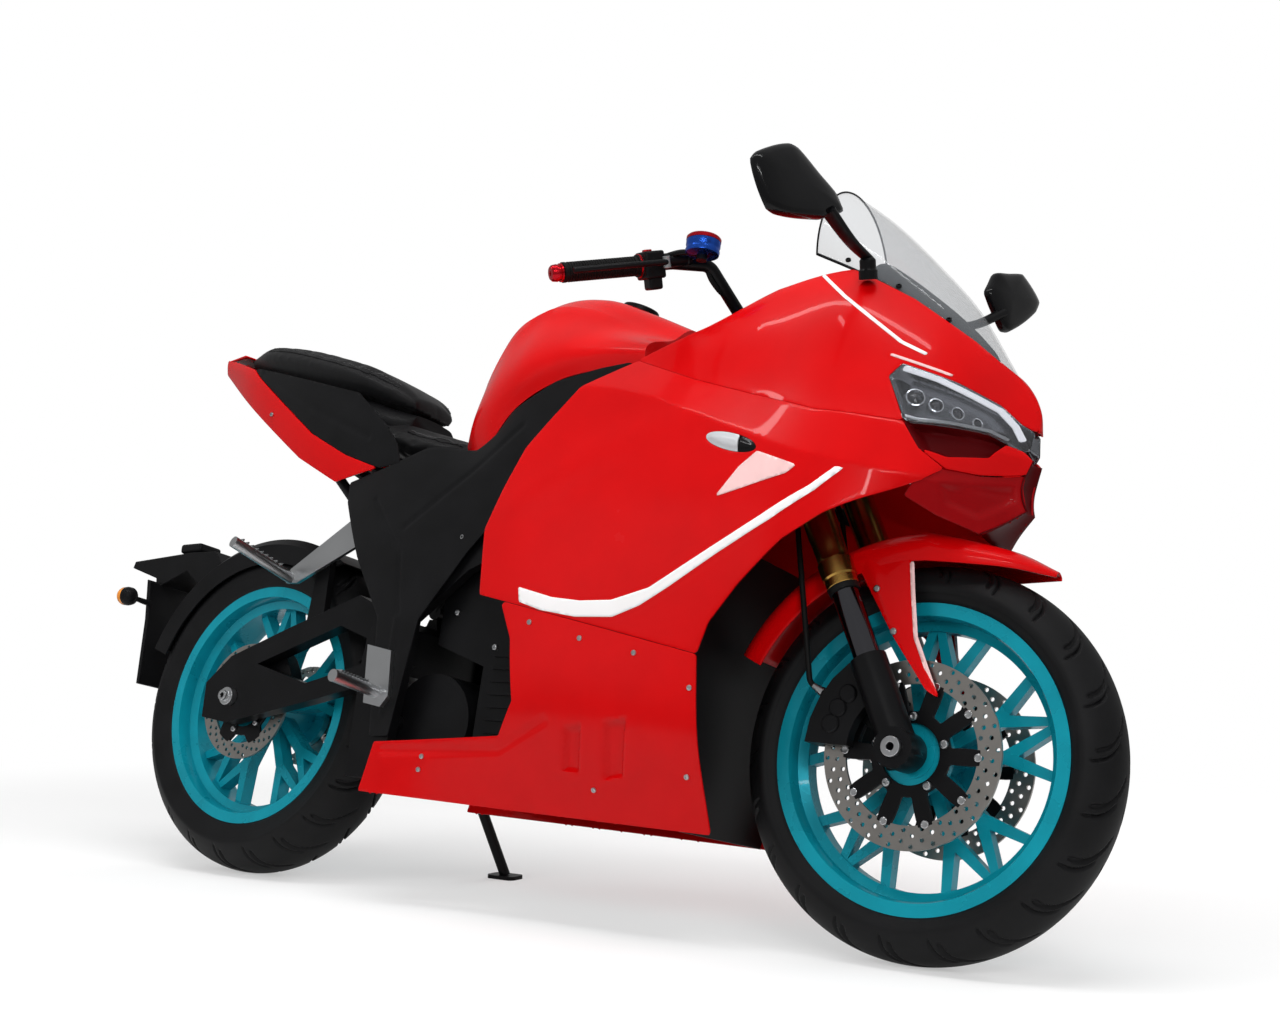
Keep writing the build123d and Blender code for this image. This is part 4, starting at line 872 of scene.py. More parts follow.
@dataclass
class Scatter:
    """Copies of a small part on listed places, laid out by a geometry node tree."""

    name: str
    stamp: Shape
    finish: Finish
    body: Body
    spin: float = 0.0
    seed: int = 7
    smooth: float = 40.0
    weld: float = 0.0
    closed: bool = True
    places: list[tuple[np.ndarray, np.ndarray, np.ndarray]] = field(default_factory=list)

    def put(self, point: Sequence[float], out: Sequence[float],
            ahead: Optional[Sequence[float]] = None) -> None:
        """Add a place: the stamp's z points out, its x ahead."""
        ahead = unit(square_to(out)[0] if ahead is None else ahead)
        self.places.append((np.asarray(point, float), unit(out), ahead))

    def tree(self) -> bpy.types.NodeTree:
        """The node tree, made once: points with a turn become real copies of the stamp."""
        found = bpy.data.node_groups.get("scatter")
        if found:
            return found
        tree = bpy.data.node_groups.new("scatter", "GeometryNodeTree")
        for socket, kind in (("Places", "Geometry"), ("Stamp", "Object"), ("Spin", "Float"), ("Seed", "Int"),
                             ("Material", "Material")):
            tree.interface.new_socket(socket, in_out="INPUT", socket_type=f"NodeSocket{kind}")
        tree.interface.new_socket("Copies", in_out="OUTPUT", socket_type="NodeSocketGeometry")
        add, join = tree.nodes.new, tree.links.new
        start, end = add("NodeGroupInput"), add("NodeGroupOutput")
        stamp, turn = add("GeometryNodeObjectInfo"), add("GeometryNodeInputNamedAttribute")
        turn.data_type = "FLOAT_VECTOR"
        turn.inputs["Name"].default_value = "turn"
        euler, copies = add("FunctionNodeEulerToRotation"), add("GeometryNodeInstanceOnPoints")
        chance, axis = add("FunctionNodeRandomValue"), add("ShaderNodeCombineXYZ")
        twist, rotate = add("FunctionNodeEulerToRotation"), add("GeometryNodeRotateInstances")
        real, paint = add("GeometryNodeRealizeInstances"), add("GeometryNodeSetMaterial")
        rotate.inputs["Local Space"].default_value = True
        join(start.outputs["Places"], copies.inputs["Points"])
        join(start.outputs["Stamp"], stamp.inputs["Object"])
        join(stamp.outputs["Geometry"], copies.inputs["Instance"])
        join(turn.outputs["Attribute"], euler.inputs[0])
        join(euler.outputs[0], copies.inputs["Rotation"])
        join(start.outputs["Spin"], [s for s in chance.inputs if s.name == "Max" and s.type == "VALUE"][0])
        join(start.outputs["Seed"], chance.inputs["Seed"])
        join([s for s in chance.outputs if s.type == "VALUE"][0], axis.inputs["Z"])
        join(axis.outputs[0], twist.inputs[0])
        join(twist.outputs[0], rotate.inputs["Rotation"])
        join(copies.outputs[0], rotate.inputs["Instances"])
        join(rotate.outputs[0], real.inputs[0])
        join(real.outputs[0], paint.inputs["Geometry"])
        join(start.outputs["Material"], paint.inputs["Material"])
        join(paint.outputs[0], end.inputs[0])
        return tree

    def holder(self) -> bpy.types.Object:
        """Object of bare points that carry each copy's turn."""
        mesh = bpy.data.meshes.new(self.name + "_places")
        mesh.from_pydata([tuple(p) for p in PARK.place([p for p, _, _ in self.places])], [], [])
        turn = mesh.attributes.new("turn", "FLOAT_VECTOR", "POINT")
        angles = []
        for _, out, ahead in self.places:
            across = unit(np.cross(out, ahead))
            basis = PARK.turn() @ np.column_stack([np.cross(across, out), across, out])
            angles += list(Matrix([list(row) for row in basis]).to_euler())
        turn.data.foreach_set("vector", angles)
        holder = bpy.data.objects.new(self.name + "_places", mesh)
        bpy.context.scene.collection.objects.link(holder)
        return holder

    def build(self) -> bpy.types.Object:
        """Lay the copies out, turn them into a plain mesh and let it ride."""
        small = bpy.data.meshes.new(self.name + "_stamp")
        small.from_pydata([tuple(p / 1000) for p in np.asarray(self.stamp[0])], [], self.stamp[1])
        if self.closed:
            settle(small)
        stamp = bpy.data.objects.new(self.name + "_stamp", small)
        bpy.context.scene.collection.objects.link(stamp)
        holder = self.holder()
        spread = holder.modifiers.new("scatter", "NODES")
        spread.node_group = self.tree()
        values = {"Stamp": stamp, "Spin": self.spin, "Seed": self.seed, "Material": self.finish.material()}
        for item in spread.node_group.interface.items_tree:
            if item.in_out == "INPUT" and item.name in values:
                spread[item.identifier] = values[item.name]
        view = bpy.context.evaluated_depsgraph_get()
        mesh = bpy.data.meshes.new_from_object(holder.evaluated_get(view), depsgraph=view)
        mesh.name = self.name
        for spare in (holder, stamp):
            bpy.data.objects.remove(spare)
        piece = bpy.data.objects.new(self.name, mesh)
        bpy.context.scene.collection.objects.link(piece)
        if self.weld:
            merge(piece, self.weld)
        shade(mesh, self.smooth)
        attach(piece, self.body.value)
        LOG.info("piece %s: %d copies, %d faces", self.name, len(self.places), len(mesh.polygons))
        return piece


def settle(mesh: bpy.types.Mesh) -> None:
    """Turn a closed mesh's faces outward."""
    work = bmesh.new()
    work.from_mesh(mesh)
    bmesh.ops.recalc_face_normals(work, faces=work.faces)
    work.to_mesh(mesh)
    work.free()


# Shared sizes of the machine

WHEELBASE = 1385.0
FRONT_R = 298.0
REAR_R = 319.0
FORK_Y = 106.0
RAKE = math.radians(26.0)
STEER_DIR = np.array([-math.sin(RAKE), 0.0, math.cos(RAKE)])
STEER_FWD = np.array([math.cos(RAKE), 0.0, math.sin(RAKE)])
CLAMP_OFFSET = 32.0
STEER_FOOT = np.array([WHEELBASE, 0.0, FRONT_R]) - STEER_FWD * CLAMP_OFFSET


def steer_point(along: float, forward: float = 0.0, across: float = 0.0) -> np.ndarray:
    """Point given along the steering axis, forward of it and to the left of it."""
    return STEER_FOOT + STEER_DIR * along + STEER_FWD * forward + np.array([0, across, 0])


def ribbon(path: Sequence[Point2], width: float) -> list[Point2]:
    """Outline of a band of a width along a side-view path."""
    line = np.asarray(path, float)
    run = np.gradient(line, axis=0)
    off = np.column_stack([-run[:, 1], run[:, 0]]) / np.linalg.norm(run, axis=1)[:, None] * width / 2
    return [tuple(p) for p in np.vstack([line + off, (line - off)[::-1]])]


# Sub-assemblies


@dataclass
class RedBody:
    """Nose, side, belly and chin fairings, with their stripes and lamps, and their painted highlights and painted
    shade.
    """

    sections: list = preset([
        (380, [(40, 1090), (140, 1010), (150, 960), (160, 880), (172, 640), (170, 540), (170, 330), (154, 164)]),
        (560, [(40, 1090), (145, 1005), (155, 950), (180, 880), (192, 640), (190, 520), (182, 330), (142, 160)]),
        (700, [(40, 1085), (150, 1000), (160, 942), (192, 876), (210, 640), (208, 491), (192, 327), (132, 157)]),
        (880, [(50, 1080), (162, 965), (172, 914), (205, 852), (222, 640), (214, 454), (196, 316), (130, 153)]),
        (1000, [(60, 1085), (164, 968), (186, 868), (215, 812), (231, 640), (213, 429), (194, 302), (130, 151)]),
        (1120, [(60, 1095), (148, 1028), (202, 829), (226, 762), (236, 640), (208, 404), (186, 285), (128, 149)]),
        (1240, [(40, 1130), (127, 1057), (212, 793), (233, 718), (234, 632), (200, 380), (170, 260), (122, 144)]),
        (1340, [(20, 1080), (104, 1004), (186, 777), (203, 700), (200, 628), (168, 360), (150, 240), (112, 138)]),
        (1430, [(-10, 1010), (62, 940), (128, 764), (140, 690), (104, 625), (110, 350), (95, 235), (75, 133)]),
        (1490, [(-30, 960), (12, 890), (54, 758), (42, 690), (28, 640), (50, 350), (40, 230), (30, 130)]),
        (1524, [(-40, 915), (-6, 852), (14, 758), (10, 690), (8, 650), (8, 350), (6, 230), (4, 120)])])
    shoulder: list = preset([(876, 915), (1000, 868), (1120, 829), (1240, 793), (1320, 784),
                             (1370, 780)])
    seam: list = preset([(1084, 411.5), (1000, 429), (880, 454), (700, 491), (636, 504.5)])
    arch: list = preset([(1396, 738), (1429, 712), (1406, 688), (1367, 668), (1331, 650),
                         (1281, 624), (1222, 583), (1151, 515), (1103, 459)])
    lens: list = preset([
        (1337.5, 855), (1352, 879.4), (1425, 858.4), (1474, 837.4), (1501, 812.4), (1516, 804), (1515, 774),
        (1503, 767), (1488, 776), (1467, 785), (1379, 780), (1370.6, 782)])
    recess: list = preset([
        (1371, 780), (1467, 785.5), (1489, 776), (1473, 745), (1430, 730), (1396, 737)])
    chin: list = preset([
        (1397, 738.6), (1430, 731), (1472, 746), (1488, 773), (1508, 768), (1519, 757), (1512, 733), (1462, 716),
        (1431, 712.5)])
    duct: list = preset([
        (1421, 712), (1462, 715), (1511, 732), (1508, 713), (1513, 678), (1462, 632), (1418, 644), (1382, 664),
        (1397, 688)])
    stripe: list = preset([
        (726, 515), (800, 497), (858, 491), (921, 492), (992, 511), (1080, 560), (1183, 618), (1259, 666),
        (1294, 696), (1306, 694), (1267, 658), (1201, 612), (1116, 564), (1029, 512), (976, 483), (925, 465),
        (852, 465), (778, 476), (731, 490)])
    # Pale patch on the side panel: a painted highlight.
    highlight_patch: list = preset([(1099, 651), (1135, 700), (1163, 723), (1235, 697), (1219, 684)])
    # Pale line along the nose's crease: a painted highlight.
    pin: list = preset([(1194, 1046), (1247, 996), (1303, 950), (1344, 917), (1380, 900)])
    # Pale line under the nose's brow: a painted highlight.
    brow_highlight: list = preset([(1334, 893), (1378, 880), (1417, 869)])
    slots: list = preset([
        [(838, 292), (876, 300), (864, 222), (827, 224)], [(918, 304), (964, 311), (950, 222), (906, 214)]])
    skin: Optional[Skin] = None

    def build(self) -> None:
        """Make every panel of the red body."""
        self.skin = Skin(self.sections, creases=(2, 3))
        self.panels()
        self.decals()
        self.front()
        self.headlamps()
        self.indicators()

    def panels(self) -> None:
        """Nose, side and belly panels."""
        lines = [self.skin.line(2, 880, 1524), self.skin.line(3, 880, 1524)]
        nose = [(x, z + 0.7) for x, z in self.shoulder] + [
            (1337, 855), (1352, 880), (1425, 859), (1474, 838), (1501, 813), (1521, 804), (1519, 836),
            (1509, 862),
            (1490, 889.5), (1430, 941), (1340, 1005), (1240, 1057), (1120, 1028), (1000, 967), (885, 921)]
        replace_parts(Panel("nose_panel", self.skin, nose, RED_GLOSS, lines=lines, edge=1.2).build(), "nose_cowl")
        side = self.shoulder + self.arch + self.seam + [(625, 619), (655, 692), (688, 762), (735, 815),
                                                        (782, 865)]
        lamp = [tuple(p) for p in ellipse((1111, 742), (50.6, 14.6), -16)]
        swell = groove([(690, 660), (830, 735), (1010, 790)], 110, -2.0)
        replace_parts(Panel("side_panels", self.skin, side, RED_GLOSS, lines=lines, holes=[lamp], features=[swell],
                          step=5.6, edge=1.2).build(), "side_fairings")
        belly = [(x, z - 0.9) for x, z in self.seam[:4]] + [
            (692, 487), (720, 430), (733, 328), (702, 272), (420, 250), (394, 170), (393, 164), (1098, 149),
            (1090, 280)]
        pressed = [hollow(slot, 11, 9) for slot in self.slots]
        pressed.append(groove([(440, 236), (700, 250), (800, 300)], 22, 2.5))
        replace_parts(Panel("belly_panels", self.skin, belly, RED_GLOSS, features=pressed, step=4.8,
                          edge=1.2).build(),
                    "belly_fairings")

    def decals(self) -> None:
        """White stripe, and as thin films the painted highlights: a pale patch on the side and two pale lines on
        the nose.
        """
        Panel("side_stripe", self.skin, self.stripe, WHITE_STRIPE_AND_HIGHLIGHT, 0.3, 1.5, 4.0, 0.9, 0.0).build()
        # Painted highlight: the pale patch on the side.
        Panel("side_facet", self.skin, self.highlight_patch, PAINTED_HIGHLIGHT_PINK, 0.3, 3.0, 4.0, 0.9, 0.0).build()
        # Painted highlight along the nose's crease, in the stripe's white.
        Panel("nose_pinstripe", self.skin, ribbon(self.pin, 5.5), WHITE_STRIPE_AND_HIGHLIGHT, 0.3, 1.0, 3.0, 0.7, 0.0).build()
        # Painted highlight under the nose's brow.
        Panel("brow_line", self.skin, ribbon(self.brow_highlight, 4.5), PAINTED_HIGHLIGHT_PINK, 0.3, 1.0, 3.0, 0.7, 0.0).build()

    def front(self) -> None:
        """Chin, the hollow above it in painted shade, the duct below it in painted half shade, and the fronts that
        close nose and chin, the chin's front also in painted shade.
        """
        piece = Panel("chin_panel", self.skin, self.chin, RED_GLOSS, 3.0, 3.0, 4.0, edge=1.2).build()
        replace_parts(piece, "chin_cowl")
        mouth = hollow([(1420, 690), (1462, 706), (1500, 716), (1502, 690), (1460, 650), (1425, 660)], 9, 12)
        # The duct's mid red is painted half shade.
        Panel("chin_duct", self.skin, self.duct, RED_PAINTED_HALF_SHADE, 3.0, 3.0, 4.0, -4.0, edge=1.0, features=[mouth]).build()
        # The hollow's dark red is painted shade.
        Panel("chin_hollow", self.skin, self.recess, RED_PAINTED_SHADE, 2.0, 2.0, 3.0, -3.2, 0.5,
              features=[hollow(self.recess, 24, 9)]).build()
        profile = curve_through([(1520.5, 0, 756.5), (1513, 0, 735), (1508.5, 0, 713), (1510, 0, 695),
                                 (1515.5, 0, 678)], 14)
        lower = curve_through([(1515.5, 0, 678), (1490, 0, 656), (1462, 0, 632)], 8)[1:]
        line = np.vstack([profile, lower])
        reach = self.skin.reach(line[:, 0], line[:, 2])
        across = np.linspace(1, -1, 13)
        hollow_in = 9 * (1 - across**2)
        rows = np.array([[(x - dip * 0.8, y * w, z) for y, dip in zip(across, hollow_in)]
                         for (x, _, z), w in zip(line, reach)])
        # The chin front's dark red is painted shade.
        sheet_piece("chin_front", rows, RED_PAINTED_SHADE, 2.0)
        tip = curve_through([(1462, 0, 914), (1490, 0, 889.5), (1509, 0, 862), (1519, 0, 836), (1521.5, 0, 804)],
                            26)
        width = np.maximum(self.skin.reach(tip[:, 0], tip[:, 2]), 1.0) + 0.8
        rows = np.array([[(x + 1.5 * (1 - y * y), y * w, z + 1.0 * (1 - y * y)) for y in across]
                         for (x, _, z), w in zip(tip, width)])
        sheet_piece("nose_tip", rows, RED_GLOSS, 3.0)

    def outward(self, x: float, z: float) -> np.ndarray:
        """Direction square to the left skin at a side-view place."""
        at = np.array([[x, z], [x + 4, z], [x, z + 4]])
        y = self.skin.reach(at[:, 0], at[:, 1])
        return unit([-(y[1] - y[0]) / 4, 1.0, -(y[2] - y[0]) / 4])

    def on_skin(self, x: float, z: float, lift: float = 0.0) -> np.ndarray:
        """Point of the left skin, lifted along its normal."""
        y = self.skin.reach(np.array([x]), np.array([z]))[0]
        return np.array([x, y, z]) + self.outward(x, z) * lift

    def headlamps(self) -> None:
        """Clear lens over a housing with a light guide and projectors."""
        glass = Panel("lamp_lenses", self.skin, self.lens, LENS_GLASS, 2.0, 3.0, 4.0, -0.6, 0.5).build()
        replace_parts(glass, "headlamps")
        Panel("lamp_housings", self.skin, self.lens, LAMP_GREY, 1.5, 3.0, 3.0, -3.4, 0.0,
              features=[hollow(self.lens, 30, 14)]).build()
        guide = [(1353, 873), (1400, 860), (1444, 842), (1474, 829), (1493, 808), (1504, 786)]
        Panel("light_guides", self.skin, ribbon(guide, 8.5), LED_WHITE, 2.5, 2.0, 2.5, -4.2, 0.4).build()
        trim = ribbon([(1360, 792), (1385, 787), (1466, 791), (1488, 783)], 5)
        Panel("lamp_trims", self.skin, trim, SILVER, 2.0, 1.0, 2.5, -5.5, 0.4).build()
        rings, eyes = [], []
        for x, z, r in ((1379, 832, 13), (1408, 823, 10), (1436, 815, 9), (1459, 806, 7)):
            foot, out = self.on_skin(x, z, -27), self.outward(x, z)
            rings.append(turned(foot, out, [(0, r + 3), (9, r + 3), (11, r + 2), (11.5, r), (6, r - 1.5)], 24))
            eyes.append(turned(foot, out, [(3, r - 1), (7, r - 1.2), (10, r * 0.6), (11, r * 0.1)], 20))
        make_piece("lamp_rings", *both(joined(rings)), CHROME, Body.CHASSIS)
        make_piece("lamp_eyes", *both(joined(eyes)), EYE_GLASS, Body.CHASSIS)

    def indicators(self) -> None:
        """Oval side lamps: a ribbed clear part and a black end."""
        oval = ellipse((1111, 742), (50, 14), -16, 60)
        clear, dark = oval[oval[:, 0] < 1128], oval[oval[:, 0] > 1126]
        clear = clear[np.argsort(np.arctan2(clear[:, 1] - 742, clear[:, 0] - 1105))]
        dark = dark[np.argsort(np.arctan2(dark[:, 1] - 736, dark[:, 0] - 1138))]
        dome = hollow([tuple(p) for p in oval], -3.5, 11)
        piece = Panel("indicator_lenses", self.skin, [tuple(p) for p in clear], CLEAR_LENS, 3.0, 1.0, 2.5, 0.2,
                      0.3, features=[dome]).build()
        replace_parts(piece, "front_indicators")
        Panel("indicator_ends", self.skin, [tuple(p) for p in dark], BLACK_GLOSS, 3.0, 1.0, 2.5, 0.2, 0.3,
              features=[dome]).build()
        back = [tuple(p) for p in ellipse((1111, 742), (52, 16), -16)]
        Panel("indicator_backs", self.skin, back, BLACK_PLASTIC, 2.0, 1.0, 4.0, -5.0, 0.0).build()


@dataclass
class Tank:
    """Smooth tank cover with its crease."""

    table: list = preset([
        (450, 70, 800, 80, 815, 66, 842, 32, 852), (480, 98, 792, 110, 830, 92, 915, 45, 945),
        (520, 118, 788, 132, 858, 98, 1000, 46, 1044), (600, 146, 852, 158, 892, 102, 1058, 46, 1092),
        (700, 160, 896, 170, 926, 106, 1052, 46, 1094), (800, 165, 910, 171, 936, 100, 1014, 42, 1058),
        (884, 165, 916, 168, 930, 86, 984, 34, 1022)])
    crown: float = 5.0
    step: int = 60

    def build(self) -> None:
        """Make the tank's piece."""
        stations = [(x, [(0.0, zt + self.crown), (ht, zt), (hc, zc), (hw, zw), (hb, zb)])
                    for x, hb, zb, hw, zw, hc, zc, ht, zt in self.table]
        half = Skin(stations, creases=(2,)).strip(np.linspace(450, 884, self.step), 9)
        full = np.concatenate([half[:, ::-1], half[:, 1:] * np.array([1, -1, 1])], axis=1)
        points, faces = surface(full)
        count = full.shape[1]
        faces += [tuple(range(count))[::-1], tuple(range(len(points) - count, len(points)))]
        piece = make_piece("tank_shell", points, faces, RED_GLOSS, Body.CHASSIS, 34, closed=False)
        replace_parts(piece, "tank_cover")
        cap = turned((742, 0, 1083), (0.24, 0, 0.97),
                     [(0, 34), (7, 34), (9, 32), (9.5, 26), (7.5, 24), (7.5, 8), (9, 6)], 36)
        make_piece("charge_lid", *cap, BLACK_SATIN, Body.CHASSIS)


@dataclass
class Tail:
    """Tail cowls, their black insets, and the deck between them."""

    sections: list = preset([
        (350, [(125, 880), (131, 820), (133, 780), (128, 735)]),
        (290, [(126, 900), (130, 830), (131, 780), (126, 735)]),
        (165, [(125, 925), (129, 860), (129, 800), (121, 735)]),
        (0, [(113, 985), (117, 930), (116, 880), (105, 795)]),
        (-164, [(84, 1030), (89, 1000), (87, 970), (72, 890)]),
        (-306, [(40, 1060), (40, 1052), (38, 1042), (30, 1018)])])
    cowl: list = preset([
        (-306, 1062), (-235, 1040), (-160, 1012), (-132, 990), (82, 846), (190, 795), (278, 766), (168, 744),
        (50, 800), (-140, 922), (-306, 1030)])
    inset: list = preset([
        (-158, 1013), (-131, 991), (83, 847), (191, 796), (279, 767), (336, 772), (318, 812), (276, 856),
        (216, 904), (190, 924), (90, 950), (-30, 982), (-140, 1011)])

    def build(self) -> None:
        """Make the tail's pieces."""
        skin = Skin(self.sections)
        cowls = Panel("tail_panels", skin, self.cowl, RED_GLOSS, corner=3.0, edge=1.2).build()
        ridge = groove([(-120, 1000), (60, 905), (240, 830)], 26, 2.0)
        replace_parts(Panel("tail_sides", skin, self.inset, BLACK_PLASTIC, offset=-1.5, features=[ridge]).build(),
                    "tail_insets")
        x = np.linspace(-305, -224, 16)
        width = np.interp(x, [-306, -235, -164], [39.4, 62, 84])
        across = np.linspace(1, -1, 15)
        rows = [[(a, b * w, 1059.5 + 3.5 * (1 - b * b) - 0.02 * (a + 306)) for b in across]
                for a, w in zip(x, width)]
        sheet_piece("tail_top", rows, RED_GLOSS, 3.0)
        x = np.linspace(-300, -60, 25)
        width = np.interp(x, [-306, -164, 0], [34, 80, 100])
        level = np.interp(x, [-306, -235, -160, -132, -60], [1040, 1026, 998, 976, 930])
        rows = [[(a, b * w, z) for b in across] for a, w, z in zip(x, width, level)]
        sheet_piece("tail_deck", rows, BLACK_PLASTIC, 2.0)
        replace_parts(cowls, "tail_cowls")


@dataclass
class Covers:
    """Black frame covers beside the tank."""

    sections: list = preset([
        (190, [(114, 770), (120, 715), (126, 660), (130, 600)]),
        (300, [(120, 808), (134, 735), (146, 640), (150, 540)]),
        (400, [(124, 826), (142, 740), (157, 600), (157, 230)]),
        (520, [(126, 806), (146, 745), (157, 640), (157, 230)]),
        (640, [(154, 894), (159, 820), (161, 740), (157, 230)]),
        (760, [(167, 916), (169, 870), (169, 800), (167, 700)]),
        (890, [(173, 932), (174, 916), (175, 900), (174, 850)])])
    outline: list = preset([
        (872, 914.4), (800, 909), (700, 895), (600, 851), (566, 812), (520, 787), (480, 791), (448, 799),
        (400, 799),
        (296, 764), (205, 742), (215, 700), (285, 588), (372, 473), (400, 260), (444, 262), (474, 470),
        (560, 590), (653, 694), (686, 764), (733, 818), (780, 868)])

    def build(self) -> None:
        """Make the covers."""
        skin = Skin(self.sections)
        marks = [groove([(395, 640), (500, 720), (640, 820)], 16, 2.4),
                 groove([(300, 700), (400, 590), (424, 480)], 14, 2.0),
                 groove([(422, 470), (422, 300)], 14, -2.0)]
        piece = Panel("cover_panels", skin, self.outline, BLACK_PLASTIC, features=marks, step=5.5,
                      edge=1.0).build()
        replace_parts(piece, "frame_covers")


@dataclass
class Fender:
    """Front fender with its arms."""

    radius: float = 324.0
    half: float = 78.5
    rear_arc: float = 65.0
    beak: list = preset([
        (65, [(20, 330), (54, 323), (70, 305), (70, 287)]), (125, [(14, 315), (36, 308), (48, 296), (48, 285)]),
        (181, [(5, 288), (9, 286), (12, 283), (12, 279)])])
    arm: list = preset([
        (1262, 600), (1330, 612), (1372, 614), (1362, 590), (1380, 470), (1428, 378), (1404, 392), (1345, 470)])

    def section(self, points: Sequence[Point2]) -> np.ndarray:
        """Rounded full section from a half listed from the crown down."""
        left = np.array([(0, points[0][1] + 1.5), *points], float)
        full = np.vstack([left[::-1] * np.array([-1, 1]), left[1:]])
        return curve_through(full, 41)[::-1]

    def build(self) -> None:
        """Make the fender's pieces."""
        r = self.radius
        own = [(22, r + 19), (62, r + 12), (self.half, r - 6), (self.half, r - 34)]
        rows = []
        for angle in np.radians(np.linspace(-self.rear_arc, 0, 34)):
            along, up = math.sin(angle), math.cos(angle)
            rows.append([(WHEELBASE + h * along, y, FRONT_R + h * up) for y, h in self.section(own)])
        table = np.array([[c for p in points for c in p] for _, points in [(0, own), *self.beak]], float)
        ahead = np.array([0] + [a for a, _ in self.beak], float)
        steps = np.linspace(0, 181, 30)[1:]
        for a, flat in zip(steps, smooth_track(ahead, table, steps)):
            rows.append([(WHEELBASE + a, y, FRONT_R + h) for y, h in self.section(flat.reshape(-1, 2))])
        shell = make_piece("fender_shell", *surface(np.array(rows)), RED_GLOSS, Body.STEERING, 50, closed=False)
        thicken(shell, 3.0, 0.8)
        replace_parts(shell, "front_fender")
        side = Skin([(1100, [(self.half, 800), (self.half, 200)]), (1700, [(self.half, 800), (self.half, 200)])])
        Panel("fender_arms", side, self.arm, RED_GLOSS, 3.0, 6.0, 5.0, 0.1, 1.0,
              features=[groove([(1290, 590), (1350, 470), (1412, 388)], 30, -1.6)]).build(Body.STEERING)
        # Pale band along the front edge of the fender's arms: a painted highlight.
        edge = [(1364, 586), (1370, 540), (1381, 470), (1418, 390)]
        Panel("fender_edges", side, ribbon(edge, 7), PAINTED_HIGHLIGHT_PINK, 0.3, 1.0, 4.0, 0.5, 0.0).build(Body.STEERING)


